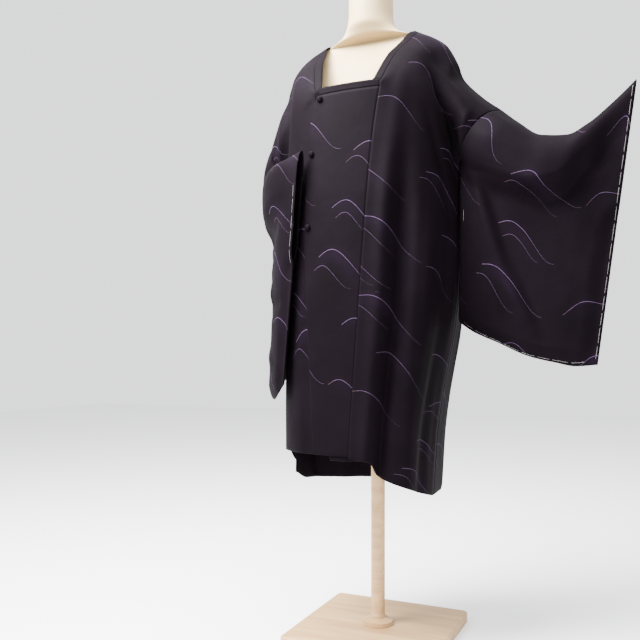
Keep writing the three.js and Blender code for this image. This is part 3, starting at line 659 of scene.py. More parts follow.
def panel_face(side, face):
    """Front or back of one body width: up the hanging body and then over the chest to the ridge."""
    ridge, armhole, neck = RIDGES[side], ARMHOLES[side], NECKS[face]
    out = -1 if face == "front" else 1
    shift = np.array([0, out * SEAM_EASE, 0])

    def inner_x(z):
        if face == "back":
            return np.full_like(z, SEAM_EASE)
        if side == "left":
            return front_edge("seam", z) + SEAM_EASE
        return -front_edge("underSeam", z) + SEAM_EASE

    def body_point(v, z):
        z = np.broadcast_to(np.asarray(z, float), np.shape(v))
        first = plan_angle(side, z, inner_x(z))
        return plan_point(side, face, z, first + (math.pi / 2 - first) * v) + shift

    def edge_point(t):
        point = read_point(armhole, (face + "X", face + "Y", "z"), t)
        return point + stack(0, out * SEAM_EASE * (1 - t), 0)

    def arc_point(v, t):
        start = body_point(v, CHEST + (UNDERARM - CHEST) * v * v)
        top = read_point(ridge, "xyz", v)
        forward, up = np.cos(t * math.pi / 2), np.sin(t * math.pi / 2)
        return stack(
            start[..., 0] + (top[..., 0] - start[..., 0]) * (1 - forward),
            top[..., 1] + (start[..., 1] - top[..., 1]) * forward,
            start[..., 2] + (top[..., 2] - start[..., 2]) * up,
        )

    v, r = np.meshgrid(np.linspace(0, 1, SIDE_COLUMNS + 1), np.linspace(0, 1, BODY_ROWS + 1))
    hem = read(HEMS[side], face, v)
    top = CHEST + (UNDERARM - CHEST) * v * v
    z = hem + (top - hem) * r
    lower = body_point(v, z)
    near = smooth(top - SIDE_OPENING, top, z) * v**4
    pull = edge_point(np.zeros(1))[0] - body_point(np.ones(1), UNDERARM)[0]
    lower = lower + pull * near[..., None]
    v2, t = np.meshgrid(v[0], np.arange(1, SHOULDER_ROWS + 1) / SHOULDER_ROWS)
    neck_point = read_point(neck, "xyz", t[:, 0])
    neck_point[:, 0] = np.maximum(neck_point[:, 0], SEAM_EASE)
    neck_gap = neck_point - arc_point(np.zeros_like(t[:, 0]), t[:, 0])
    neck_gap *= np.minimum(1, t / NECK_START)[:, :1]
    arm_gap = edge_point(t[:, 0]) - arc_point(np.ones_like(t[:, 0]), t[:, 0])
    upper = arc_point(v2, t)
    upper = upper + neck_gap[:, None] * ((1 - v2) ** 3)[..., None]
    upper = upper + arm_gap[:, None] * (v2**3)[..., None]
    return np.concatenate([lower, upper]), np.concatenate([v, v2])


def soften(points, v, middle, reach, passes):
    """Evens out the rows of a grid on both sides of one row, where two curves meet."""
    rows = np.arange(middle - reach, middle + reach + 1)
    rows = rows[(rows > 0) & (rows < len(points) - 1)]
    share = smooth(reach, reach * CHEST_FULL, np.abs(rows - middle))[:, None, None] / 2
    share = share * (smooth(0, CHEST_EDGE, v[rows]) * smooth(1, 1 - CHEST_EDGE, v[rows]))[..., None]
    for _ in range(passes):
        between = (points[rows - 1] + points[rows + 1]) / 2
        points[rows] = points[rows] * (1 - share) + between * share
    return points


def body_panel(side):
    """Grid of one body width, from the back hem over the ridge to the front hem."""
    back, v_back = panel_face(side, "back")
    front, v_front = panel_face(side, "front")
    points = np.concatenate([back, front[:-1][::-1]])
    v = np.concatenate([v_back, v_front[:-1][::-1]])
    is_front = np.arange(len(points))[:, None] > RIDGE_ROW
    z = points[..., 2].copy()
    points[..., 0] *= SIDES[side]
    for middle in (BODY_ROWS, len(points) - 1 - BODY_ROWS):
        points = soften(points, v, middle, CHEST_REACH, CHEST_PASSES)
    turn = -SIDES[side]
    normals = grid_normals(points, turn=turn)
    flat_a = v * np.maximum(lengths(points, 1)[:, -1:], 1)
    flat_b = np.abs(lengths(points, 0) - lengths(points, 0)[RIDGE_ROW])
    away = smooth(REST_DEPTH, REST_DEPTH * 4, np.abs(points[..., 1]))
    hang = np.maximum(away, smooth(REST_TO, HANG_FROM, v))
    edge = np.minimum(1, (1 - v) / SEAM_KEEP)
    push = np.where(is_front, fold_depth(side, "front", v, z), fold_depth(side, "back", v, z)) * edge * hang
    side_edge = smooth(0, CREASE_EDGE, flat_a) * smooth(0, CREASE_EDGE, flat_a[:, -1:] - flat_a)
    small = creases_of(side, ("front", "back"), is_front, flat_a, flat_b)
    push = push + small * side_edge * hang
    points = points + normals * push[..., None]
    if side == "right":
        cover = front_edge("overlap", z)
        covered = smooth(cover - COVER_FROM, cover - COVER_TO, points[..., 0])
        step = LAYER_STEP * covered * smooth(CHEST + COVER_FALL, CHEST + COVER_TOP, z)
        points[..., 1] += np.where(is_front, step, 0)
    return {"points": points, "normals": grid_normals(points, turn=turn), "turn": turn,
            "a": flat_a, "b": flat_b, "front": is_front, "closed": False,
            "rows": flat_b * (1 - ROW_LEVEL) + (SHOULDER_TOP - points[..., 2]) * ROW_LEVEL}


def front_strip(from_x, to_x, hem, top, inward):
    """Grid of a front strip between two edges, set back from the plan by a distance."""
    z = np.linspace(hem, top, STRIP_ROWS + 1)[:, None]
    x = from_x(z) + (to_x(z) - from_x(z)) * np.linspace(0, 1, STRIP_COLUMNS + 1)
    z = np.broadcast_to(z, x.shape)
    points = front_point(x, z)
    points[..., 1] += inward(x)
    flat_a = lengths(points, 1)
    flat_b = lengths(points, 0)
    return {"points": points, "normals": grid_normals(points), "turn": 1,
            "a": flat_a, "b": flat_b[-1:] - flat_b, "front": np.ones_like(x, bool), "closed": False,
            "rows": flat_b[-1:] - flat_b}


def sleeve(side, panel):
    """Rings of one sleeve from the armhole to the cuff: down its outer layer and up its inner one."""
    source, edge, furi = SLEEVES[side], ARMHOLES[side], FURI[side]
    attached = (edge["z"][-1] - UNDERARM) / (source["topZ"][0] - source["lowZ"][0])
    s = np.arange(1, FURI_STEPS + 1) / FURI_STEPS
    down = (1 - ROW_CURVE) * s + ROW_CURVE * np.sin(s * math.pi / 2)
    w = np.concatenate([attached * np.linspace(0, 1, SHOULDER_ROWS + 1), attached + (1 - attached) * down])

    def design(u, w, layer):
        get = {name: read(source, name, u) for name in source}
        facing = np.radians(get["facing"])
        outward = stack(np.sin(facing), -np.cos(facing), 0)
        top = stack(get["topX"], get["topY"], get["topZ"])
        low = stack(get["lowX"], get["lowY"], get["lowZ"])
        waist = get["waist"] * np.sin(math.pi * w)
        point = top + (low - top) * w[..., None] - outward * waist[..., None]
        foot = np.sqrt(np.clip((1 - w) / FOOT_ROUND, 0, 1))
        roll = get["roll"] if layer == "outer" else get["innerRoll"]
        hang = get[layer]
        hollow = get["hollow"] if layer == "outer" else hang
        roll_at = get["rollAt"]
        roll_end = roll_at + ROLL_FALL
        rising = roll * np.sin(math.pi / 2 * np.sqrt(np.clip(w / roll_at, 0, 1)))
        falling = roll + (hollow - roll) * smooth(roll_at, roll_end, w)
        flat = hollow + (hang - hollow) * smooth(roll_end, FLAT_FROM, w)
        out = np.where(w < roll_at, rising, np.where(w < roll_end, falling, flat))
        sewn = smooth(CUFF_OPEN, CUFF_CLOSED, w) * smooth(CUFF_FROM, 1, u)
        out = out * foot * (1 - sewn)
        out = np.where((w > 0) & (w < 1), np.maximum(out, CUFF_SEWN), out)
        return point + outward * (out if layer == "outer" else -out)[..., None]

    def seam_line(w, layer):
        t = 1 - w / attached
        face = "front" if layer == "outer" else "back"
        seam = read_point(edge, (face + "X", face + "Y", "z"), t)
        below = (w - attached) / (1 - attached)
        free = read_point(furi, (layer + "X", layer + "Y", "z"), below)
        return np.where((w <= attached)[..., None], seam, free)

    u = np.linspace(0, 1, SLEEVE_SECTIONS + 1)
    halves = []
    for layer, places in (("outer", w), ("inner", w[1:-1][::-1])):
        grid_u, grid_w = np.meshgrid(u, places, indexing="ij")
        hold = 1 - smooth(0, SEAM_HOLD, grid_u)
        pull = seam_line(places, layer) - design(np.zeros_like(places), places, layer)
        halves.append(design(grid_u, grid_w, layer) + pull[None] * hold[..., None])
    points = np.concatenate(halves, axis=1)
    points[..., 0] *= SIDES[side]
    turn = SIDES[side]
    normals = grid_normals(points, closed=True, turn=turn)
    count = points.shape[1]
    outer = np.arange(count) < len(w)
    for k in range(-SHOULDER_ROWS, SHOULDER_ROWS + 1):
        row = panel["points"][RIDGE_ROW + k]
        points[0, k % count] = row[-1] + unit(row[-1] - row[-2]) * SEAM_GAP
    flat_a = lengths(points, 0)
    around = lengths(points, 1)
    whole = around[:, -1:] + np.linalg.norm(points[:, -1:] - points[:, :1], axis=-1)
    flat_b = np.where(outer, around, whole - around)
    small = creases_of(side, ("outer", "inner"), outer, flat_a, flat_b)
    w_all = np.concatenate([w, w[1:-1][::-1]])
    keep = smooth(0, CREASE_EDGE * 2, flat_a) * smooth(*FADE_TOP, w_all) * smooth(*FADE_FOOT, w_all)
    cuff = 1 - smooth(CUFF_OPEN - CUFF_MARGIN, CUFF_CLOSED, w_all) * smooth(*FADE_CUFF, u)[:, None]
    points = points + normals * (small * keep * cuff)[..., None]
    normals = grid_normals(points, closed=True, turn=turn)
    for k in range(-SHOULDER_ROWS, SHOULDER_ROWS + 1):
        normals[0, k % count] = panel["normals"][RIDGE_ROW + k, -1]
    return {"points": points, "normals": normals, "turn": turn, "a": flat_a, "b": flat_b,
            "front": np.broadcast_to(outer, flat_a.shape), "closed": True, "w": w, "rows": flat_b}


# The pattern, as three values at each point: how far off the nearest wave's line it is in half
# widths of the line, whether that wave is near, and how gold it is there, with the haze apart

def wave_line(wave, s):
    """How far down a wave's line is at a share of its length: up to its crest, then a long fall."""
    rise = wave["drop"] * CREST_RISE
    up = -rise * np.sin(math.pi / 2 * np.clip(s / CREST_AT, -1, 1))
    fall = -rise + (rise + wave["drop"]) * smooth(CREST_AT, 1, s)
    return np.where(s < CREST_AT, up, fall)


def wave_fields(chart, a, b):
    """The pattern's values at places on the flat cloth, from every wave of a chart and its repeats."""
    off_line = np.full(a.shape, float(OFF))
    near, gold, haze = np.zeros((3, *a.shape))
    nearest = np.full(a.shape, 1e9)
    across = range(math.floor(a.min() / REPEAT_ACROSS) - 1, math.ceil(a.max() / REPEAT_ACROSS) + 2)
    down = range(math.floor(b.min() / REPEAT_DOWN) - 1, math.ceil(b.max() / REPEAT_DOWN) + 2)
    for wave in rows_of(chart):
        for i in across:
            for j in down:
                start_a = wave["a"] + i * REPEAT_ACROSS + (j % 2) * ROW_SHIFT
                start_b = wave["b"] + j * REPEAT_DOWN
                length = wave["length"]
                s = (a - start_a) / length
                line = wave_line(wave, s)
                ahead = wave_line(wave, s + WAVE_STEP)
                slope = (ahead - line) / (WAVE_STEP * length)
                distance = (b - start_b - line) / np.sqrt(1 + slope**2)
                inside = smooth(-WAVE_CUT, 0, s) * smooth(1 + WAVE_CUT, 1, s)
                swell = np.exp(-(((s - CREST_AT) / CREST_SWELL) ** 2))
                half = wave["thick"] / 2 * (WAVE_END + (1 - WAVE_END) * swell)
                beyond = np.maximum(0, np.maximum(-s, s - 1))
                rank = np.abs(distance) + WAVE_BEYOND * beyond
                mask = (rank < nearest) & (beyond < WAVE_TAIL)
                nearest = np.where(mask, rank, nearest)
                off_line = np.where(mask, np.clip(distance / half, -OFF, OFF), off_line)
                close = smooth(WAVE_NEAR, WAVE_NEAR * WAVE_SURE, np.abs(distance))
                near = np.where(mask, inside * close, near)
                tip = smooth(*GOLD_START, s) + GOLD_SHARE * smooth(*GOLD_END, s)
                gold = np.where(mask, wave["gold"] * np.clip(tip, 0, 1), gold)
                below = distance - HAZE_REACH * HAZE_BELOW
                cloud = np.exp(-((below / HAZE_REACH) ** 2) - ((s - HAZE_AT) / HAZE_LENGTH) ** 2)
                haze = np.maximum(haze, wave["haze"] * cloud)
    return off_line, near, gold, haze


# Meshes

def placed(name, data):
    made = bpy.data.objects.new(name, data)
    bpy.context.scene.collection.objects.link(made)
    return made


def make_object(name, vertices, faces, material):
    mesh = bpy.data.meshes.new(name)
    mesh.from_pydata((vertices * MM).tolist(), [], faces)
    mesh.update()
    mesh.polygons.foreach_set("use_smooth", [True] * len(mesh.polygons))
    mesh.materials.append(material)
    piece = placed(name, mesh)
    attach(piece, "root")
    return piece


def quads(rows, columns, closed=False, start=0):
    """Faces of a grid, as rows of four indices."""
    wrap = columns if closed else columns - 1
    r, c = np.meshgrid(np.arange(rows - 1), np.arange(wrap), indexing="ij")
    n = (c + 1) % columns
    corners = [r * columns + c, r * columns + n, (r + 1) * columns + n, (r + 1) * columns + c]
    return start + np.stack(corners, axis=-1).reshape(-1, 4)


def cloth_piece(node, grid, fields=None, both_sides=False):
    """Closed wall of cloth on a grid, with its rims rounded, that stands for a node."""
    points, normals, closed, turn = grid["points"], grid["normals"], grid["closed"], grid["turn"]
    rows, columns = points.shape[:2]
    faces = quads(rows, columns, closed)
    layer = rows * columns
    outside = points + normals * CLOTH / 2
    inside = points - normals * CLOTH / 2
    vertices = [outside.reshape(-1, 3), inside.reshape(-1, 3)]
    all_faces = [faces if turn > 0 else faces[:, ::-1]]
    all_faces.append((faces[:, ::-1] if turn > 0 else faces) + layer)
    index = np.arange(layer).reshape(rows, columns)
    if closed:
        loops = [(index[0], 1), (index[-1], -1)]
    else:
        loops = [(np.concatenate([index[0], index[1:, -1], index[-1, -2::-1], index[-2:0:-1, 0]]), 1)]
    flat = points.reshape(-1, 3)
    extra = 2 * layer
    for loop, way in loops:
        edge = unit(flat[loop] - flat[inward_neighbours(loop, rows, columns, closed)])
        vertices.append(flat[loop] + edge * RIM)
        count = len(loop)
        k = np.arange(count)
        n = (k + 1) % count
        upper = np.stack([loop[n], loop[k], extra + k, extra + n], axis=-1)
        lower = np.stack([extra + n, extra + k, layer + loop[k], layer + loop[n]], axis=-1)
        flip = (way * turn) < 0
        for part in (upper, lower):
            all_faces.append(part[:, ::-1] if flip else part)
        extra += count
    piece = make_object("coat_" + node, np.concatenate(vertices), np.concatenate(all_faces).tolist(), silk)
    order = np.concatenate([np.arange(layer), np.arange(layer)] + [loop for loop, _ in loops])
    if fields is None:
        fields = [plain_fields(layer)] * 2
    for name, field in zip(("wave", "wave_short"), fields):
        off_line, near, gold, haze = (f.reshape(-1)[order] for f in field)
        if not both_sides:
            near[layer:2 * layer] = 0
        store(piece, name, np.stack([off_line, near, gold], axis=-1))
        if name == "wave":
            store(piece, "haze", haze)
    cloth_a = grid["a"].reshape(-1)[order] * MM
    cloth_b = grid["b"].reshape(-1)[order] * MM
    store(piece, "cloth", np.stack([cloth_a, cloth_b, np.zeros_like(cloth_a)], axis=-1))
    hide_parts(node)


def plain_fields(count):
    """Fields of a plain stretch of cloth, away from every wave."""
    return np.full(count, float(OFF)), *np.zeros((3, count))


def inward_neighbours(loop, rows, columns, closed):
    """The grid point next to each rim point, on the way into the cloth."""
    r, c = np.divmod(loop, columns)
    if not closed:
        c = np.clip(c, 1, columns - 2)
    return np.clip(r, 1, rows - 2) * columns + c


def store(piece, name, values):
    kind = "FLOAT_VECTOR" if values.ndim == 2 else "FLOAT"
    made = piece.data.attributes.new(name, kind, "POINT")
    made.data.foreach_set("vector" if values.ndim == 2 else "value", values.reshape(-1))


def fields_of(grid, key, mirror_front=False):
    """Wave fields of both charts on a grid whose two faces each have their own start of the repeat."""
    both = []
    for chart in (LONG_WAVES, SHORT_WAVES):
        results = []
        for face in key[1]:
            shift_a, shift_b = SHIFTS[key[0], face]
            sign = -1 if mirror_front != (face in ("back", "inner")) else 1
            wide, tall = STRETCH.get((key[0], face), (1, 1))
            a, b = sign * grid["a"] / wide + shift_a, grid["rows"] / tall + shift_b
            results.append(wave_fields(chart, a, b))
        if len(results) == 1:
            both.append(results[0])
        else:
            both.append([np.where(grid["front"], first, second) for first, second in zip(*results)])
    return both


# Materials

class Nodes:
    """Short way to build a node tree."""

    def __init__(self, name):
        self.material = bpy.data.materials.new(name)
        self.material.use_nodes = True
        self.tree = self.material.node_tree
        self.shader = self.tree.nodes["Principled BSDF"]
        self.place = self.new("ShaderNodeTexCoord").outputs["Object"]

    def new(self, kind, inputs=None, **settings):
        node = self.tree.nodes.new(kind)
        for key, value in settings.items():
            setattr(node, key, value)
        for key, value in (inputs or {}).items():
            self.set(node, key, value)
        return node

    def set(self, node, key, value):
        if isinstance(value, bpy.types.NodeSocket):
            self.tree.links.new(value, node.inputs[key])
        else:
            node.inputs[key].default_value = value

    def finish(self, inputs):
        """The material, once the shader has its inputs."""
        for key, value in inputs.items():
            self.set(self.shader, key, value)
        return self.material

    def stored(self, name, output="Vector"):
        return self.new("ShaderNodeAttribute", attribute_name=name).outputs[output]

    def math(self, operation, first, second=0.0):
        return self.new("ShaderNodeMath", {0: first, 1: second}, operation=operation).outputs[0]

    def scaled(self, vector, *scale):
        return self.new("ShaderNodeMapping", {"Vector": vector, "Scale": scale}).outputs["Vector"]

    def bump(self, height, strength, distance, **before):
        inputs = {"Height": height, "Strength": strength, "Distance": distance, **before}
        return self.new("ShaderNodeBump", inputs).outputs["Normal"]

    def span(self, value, low, high, to_low=0.0, to_high=1.0):
        node = self.new("ShaderNodeMapRange", {"Value": value, "From Min": low, "From Max": high,
                                               "To Min": to_low, "To Max": to_high})
        node.interpolation_type = "SMOOTHSTEP"
        return node.outputs["Result"]

    def mix(self, share, first, second):
        node = self.new("ShaderNodeMix", data_type="RGBA")
        self.set(node, 0, share)
        self.set(node, 6, first)
        self.set(node, 7, second)
        return node.outputs[2]

    def noise(self, vector, scale, detail=3.0, roughness=0.5):
        node = self.new("ShaderNodeTexNoise", {"Vector": vector, "Scale": scale, "Detail": detail,
                                               "Roughness": roughness})
        return node.outputs["Fac"]


SILK_TONES = ((0.0016, 0.0010, 0.0016, 1), (0.0028, 0.0017, 0.0028, 1))
GRAIN_TONE = (0.0051, 0.0032, 0.0051, 1)
HAZE_TONE = (0.0088, 0.0044, 0.0120, 1)
LINE_TONE = (0.060, 0.036, 0.072, 1)
GOLD_TONE = (0.056, 0.029, 0.017, 1)


def silk_material():
    """Crepe silk: fine uneven grain across the weft, a soft sheen, and the pattern's thin waves."""
    n = Nodes("silk_crepe")
    cloth = n.stored("cloth")
    grain = n.noise(n.scaled(cloth, 1.0, 2.6, 1.0), 900.0, 2.0, 0.6)
    slub = n.noise(n.scaled(cloth, 0.12, 3.0, 1.0), 260.0, 2.0, 0.5)
    cloud = n.noise(n.place, 7.0, 3.0, 0.55)
    dark = n.mix(n.span(cloud, 0.35, 0.68), *SILK_TONES)
    base = n.mix(n.span(grain, 0.3, 0.75, 0.0, 0.45), dark, GRAIN_TONE)
    hazy = n.math("MULTIPLY", n.stored("haze", "Fac"), n.span(slub, 0.3, 0.7, 0.2, 0.45))
    base = n.mix(hazy, base, HAZE_TONE)
    broken = n.span(n.noise(cloth, 420.0, 2.0, 0.6), 0.3, 0.6, 0.55, 1.0)
    for name, strength in (("wave", 1.0), ("wave_short", 0.8)):
        wave = n.new("ShaderNodeSeparateXYZ", {"Vector": n.stored(name)})
        off = n.math("ABSOLUTE", wave.outputs["X"])
        line = n.math("MULTIPLY", n.span(off, 1.05, 0.5), n.math("GREATER_THAN", wave.outputs["Y"], 0.5))
        line = n.math("MULTIPLY", n.math("MULTIPLY", line, broken), strength)
        base = n.mix(line, base, n.mix(wave.outputs["Z"], LINE_TONE, GOLD_TONE))
    crepe = n.bump(grain, 0.35, 0.00028)
    return n.finish({
        "Base Color": base,
        "Roughness": n.span(grain, 0.2, 0.8, 0.52, 0.70),
        "Specular IOR Level": 0.013,
        "Sheen Weight": 0.005,
        "Sheen Roughness": 0.42,
        "Sheen Tint": (0.80, 0.70, 0.82, 1),
        "Normal": n.bump(n.noise(n.place, 38.0, 2.0, 0.5), 0.25, 0.0022, Normal=crepe),
    })


def thread_material():
    """Pale basting thread, lighter on its twists."""
    n = Nodes("basting_thread")
    twist = n.noise(n.place, 900.0, 2.0, 0.5)
    base = n.mix(twist, (0.12, 0.115, 0.11, 1), (0.20, 0.195, 0.19, 1))
    return n.finish({"Base Color": base, "Roughness": 0.7, "Normal": n.bump(twist, 0.5, 0.0002)})


def form_material():
    """Tightly stretched cotton cover of the dress form, with a fine knit."""
    n = Nodes("form_cover")
    knit = n.noise(n.scaled(n.place, 1.0, 1.0, 0.45), 1300.0, 2.0, 0.6)
    soil = n.noise(n.place, 9.0, 4.0, 0.55)
    base = n.mix(n.span(soil, 0.3, 0.75), (0.37, 0.26, 0.115, 1), (0.44, 0.33, 0.17, 1))
    base = n.mix(n.span(knit, 0.35, 0.7, 0.0, 0.3), base, (0.30, 0.21, 0.10, 1))
    return n.finish({"Base Color": base, "Roughness": 0.62, "Sheen Weight": 0.15,
                     "Normal": n.bump(knit, 0.35, 0.0003)})


def wood_material():
    """Pale varnished wood with a straight grain and darker pores."""
    n = Nodes("form_wood")
    rings = n.noise(n.scaled(n.place, 1.6, 26.0, 26.0), 2.4, 4.0, 0.55)
    pores = n.noise(n.scaled(n.place, 6.0, 260.0, 260.0), 3.0, 2.0, 0.5)
    base = n.mix(n.span(rings, 0.35, 0.66), (0.34, 0.19, 0.075, 1), (0.43, 0.27, 0.12, 1))
    base = n.mix(n.span(pores, 0.6, 0.75, 0.0, 0.35), base, (0.26, 0.13, 0.05, 1))
    return n.finish({"Base Color": base, "Roughness": n.span(rings, 0.3, 0.7, 0.42, 0.56),
                     "Normal": n.bump(pores, 0.2, 0.0003)})


silk = silk_material()
cream_cover = form_material()
pale_wood = wood_material()
basting = thread_material()

# Camera
camera_data = bpy.data.cameras.new("camera")
camera_data.sensor_width = SENSOR
camera_data.lens = FOCAL_PIXELS * SENSOR / PICTURE
camera_data.shift_y = (HORIZON - PICTURE / 2) / PICTURE
camera = placed("camera", camera_data)
camera.location = CAMERA_AT
camera.rotation_euler = (math.pi / 2, 0, math.radians(CAMERA_TURN))
bpy.context.scene.camera = camera

# Coat
panels = {side: body_panel(side) for side in SIDES}
for side in SIDES:
    fields = fields_of(panels[side], (side, ("front", "back")), mirror_front=side == "right")
    cloth_piece("body_" + side, panels[side], fields)

overlap = front_strip(
    lambda z: front_edge("overlap", z),
    lambda z: front_edge("seam", z) - SEAM_EASE,
    OVERLAP_HEM,
    CHEST,
    lambda x: 0,
)
cloth_piece("overlap_left", overlap, fields_of(overlap, ("overlap", ("front",))))
underlap = front_strip(
    lambda z: front_edge("underSeam", z) + SEAM_EASE,
    lambda z: front_edge("underlap", z),
    UNDERLAP_HEM,
    CHEST - UNDERLAP_DROP,
    lambda x: LAYER_STEP + UNDERLAP_LEAN * smooth(LEAN_FROM, LEAN_TO, x),
)
cloth_piece("underlap_right", underlap, fields_of(underlap, ("underlap", ("front",))))

# Neck band
NECK_ROW = BODY_ROWS + round(BACK_NECK_START * SHOULDER_ROWS)


def neck_band(side, from_row, to_row):
    points, normals = panels[side]["points"], panels[side]["normals"]
    rows = np.arange(from_row, to_row + 1)
    edge, normal = points[rows, 0], normals[rows, 0]
    along = points[np.minimum(rows + 1, len(points) - 1), 0] - points[np.maximum(NECK_ROW, rows - 1), 0]
    inward = unit(np.cross(along, normal)) * SIDES[side]
    reach = SEAM_GAP + NECK_BAND * np.linspace(0, 1, BAND_COLUMNS)
    grid = edge[:, None] + inward[:, None] * reach[None, :, None]
    return grid, np.repeat(normal[:, None], BAND_COLUMNS, axis=1)


def band_grid(points, normals, turn):
    return {"points": points, "normals": normals, "turn": turn, "a": lengths(points, 1),
            "b": lengths(points, 0), "closed": False}


for side in SIDES:
    edge = panels[side]["points"][RIDGE_ROW:, 0]
    last = int(np.nonzero(edge[:, 2] > BAND_ENDS[side] + BAND_NEAR)[0].max())
    points, normals = neck_band(side, RIDGE_ROW, RIDGE_ROW + last)
    fall = edge[last + 1] - edge[last]
    drop = (BAND_ENDS[side] - points[-1, :, 2]) / fall[2]
    points = np.concatenate([points, [points[-1] + drop[:, None] * fall]])
    normals = np.concatenate([normals, normals[-1:]])
    cloth_piece("neck_band_" + side, band_grid(points, normals, SIDES[side]))
left_points, left_normals = neck_band("left", NECK_ROW, RIDGE_ROW)
right_points, right_normals = neck_band("right", NECK_ROW + 1, RIDGE_ROW)
points = np.concatenate([right_points[::-1], left_points])
normals = np.concatenate([right_normals[::-1], left_normals])
points[0, :, 1] += SEAM_GAP
points[-1, :, 1] += SEAM_GAP
cloth_piece("neck_band_back", band_grid(points, normals, 1))

z = CHEST + SEAM_GAP + FRONT_BAND * np.linspace(0, 1, BAND_COLUMNS)[:, None]
right_end = FRONT_BAND_LEFT + FRONT_BAND_SLANT * np.linspace(0, 1, BAND_COLUMNS)[:, None]
x = FRONT_BAND_RIGHT + (right_end - FRONT_BAND_RIGHT) * np.linspace(0, 1, STRIP_COLUMNS + 1)
z = np.broadcast_to(z, x.shape)
points = front_point(x, z)
cloth_piece("neck_band_front", band_grid(points, grid_normals(points), 1))

# Sleeves
sleeves = {side: sleeve(side, panels[side]) for side in SIDES}
for side in SIDES:
    fields = fields_of(sleeves[side], (side, ("outer", "inner")))
    cloth_piece("sleeve_" + side, sleeves[side], fields, both_sides=side == "right")

# Buttons: a cloth cover drawn over a low dome, with small gathers round its foot
for name, z, from_edge in BUTTONS:
    x = front_edge("overlap", z) + from_edge
    seat, aside = front_point(x, z), front_point(x - BUTTON_RADIUS, z)
    slope = unit(seat - aside)
    out = np.array([slope[1], -slope[0], 0])
    up = np.array([0, 0, 1.0])
    side_way = np.cross(up, out)
    turn, ring = np.meshgrid(np.arange(BUTTON_TURNS) / BUTTON_TURNS * 2 * math.pi,
                             np.linspace(0, 1, BUTTON_RINGS))
    arc = ring * math.pi / 2
    radius = BUTTON_RADIUS * np.cos(arc) ** BUTTON_ROUND
    radius = np.where(ring == 0, BUTTON_RADIUS * BUTTON_FOOT, radius)
    gather = 1 + GATHER_DEPTH * np.cos(turn * GATHERS) * (1 - ring) ** 2
    height = np.where(ring == 0, 0, BUTTON_HEIGHT * (BUTTON_SIDE + (1 - BUTTON_SIDE) * np.sin(arc)))
    base = seat + out * (CLOTH / 2 + BUTTON_GAP)
    points = (base + (radius * gather * np.cos(turn))[..., None] * side_way
              + (radius * gather * np.sin(turn))[..., None] * up + height[..., None] * out)
    faces = quads(BUTTON_RINGS, BUTTON_TURNS, True).tolist()
    faces.append(list(range(BUTTON_TURNS))[::-1])
    last = (BUTTON_RINGS - 1) * BUTTON_TURNS
    vertices = points.reshape(-1, 3)[:last + 1]
    faces = [list(dict.fromkeys(min(index, last) for index in face)) for face in faces]
    button = make_object("coat_" + name, vertices, [face for face in faces if len(face) > 2], silk)
    for field in ("wave", "wave_short"):
        store(button, field, np.tile([float(OFF), 0, 0], (last + 1, 1)))
    store(button, "haze", np.zeros(last + 1))
    store(button, "cloth", vertices * MM)
    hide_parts(name)

# Basting stitches along the sleeve edges that show them

def surface(grid, row, column):
    """Point and direction of a grid at places between its points."""
    rows, columns = grid["points"].shape[:2]
    r = np.clip(row, 0, rows - 1.001)
    c = column % columns if grid["closed"] else np.clip(column, 0, columns - 1.001)
    r0, c0 = r.astype(int), c.astype(int)
    c1 = (c0 + 1) % columns
    fr, fc = (r - r0)[:, None], (c - c0)[:, None]
    result = []
    for name in ("points", "normals"):
        g = grid[name]
        low = g[r0, c0] * (1 - fc) + g[r0, c1] * fc
        high = g[r0 + 1, c0] * (1 - fc) + g[r0 + 1, c1] * fc
        result.append(low * (1 - fr) + high * fr)
    return result[0], unit(result[1])


def uneven(k, step, least, vary):
    """A share that differs from stitch to stitch, as by hand."""
    return least + vary * ((k * step) % 1)


def basting_line(name, grid, rows, columns, with_piece, face=1):
    """Stitches along a line on a grid, each a thin thread that dips in at both ends."""
    fine = np.linspace(0, 1, LINE_SPOTS)
    points, normals = surface(grid, np.interp(fine, np.linspace(0, 1, len(rows)), rows),
                              np.interp(fine, np.linspace(0, 1, len(columns)), columns))
    normals = normals * face
    run = np.concatenate([[0], np.cumsum(np.linalg.norm(np.diff(points, axis=0), axis=1))])
    vertices, faces = [], []
    share = np.linspace(0, 1, THREAD_SPOTS)
    dip = 1 - smooth(0, THREAD_DIP, share) * smooth(1, 1 - THREAD_DIP, share)
    lift = CLOTH / 2 + THREAD * (THREAD_RISE - THREAD_SINK * dip)
    turns = np.arange(THREAD_TURNS) / THREAD_TURNS * 2 * math.pi
    last = (THREAD_SPOTS - 1) * THREAD_TURNS
    place, k = LINE_START, 0
    while place < run[-1] - SHORTEST:
        end = min(place + STITCH * uneven(k, *STITCH_VARIES), run[-1] - LINE_END)
        spots = np.linspace(place, end, THREAD_SPOTS)
        middle = np.stack([np.interp(spots, run, points[:, i]) for i in range(3)], axis=-1)
        out = unit(np.stack([np.interp(spots, run, normals[:, i]) for i in range(3)], axis=-1))
        middle = middle + out * lift[:, None]
        ahead = unit(np.gradient(middle, axis=0))
        aside = unit(np.cross(ahead, out))
        start = len(vertices) * THREAD_SPOTS * THREAD_TURNS
        ring = (middle[:, None] + THREAD * (np.cos(turns)[None, :, None] * aside[:, None]
                                            + np.sin(turns)[None, :, None] * out[:, None]))
        vertices.append(ring.reshape(-1, 3))
        faces += quads(THREAD_SPOTS, THREAD_TURNS, True, start).tolist()
        faces.append([start + i for i in range(THREAD_TURNS)][::-1])
        faces.append([start + last + i for i in range(THREAD_TURNS)])
        place = end + STITCH_GAP * uneven(k, *GAP_VARIES)
        k += 1
    piece = make_object(name, np.concatenate(vertices), faces, basting)
    with_piece.append(piece)


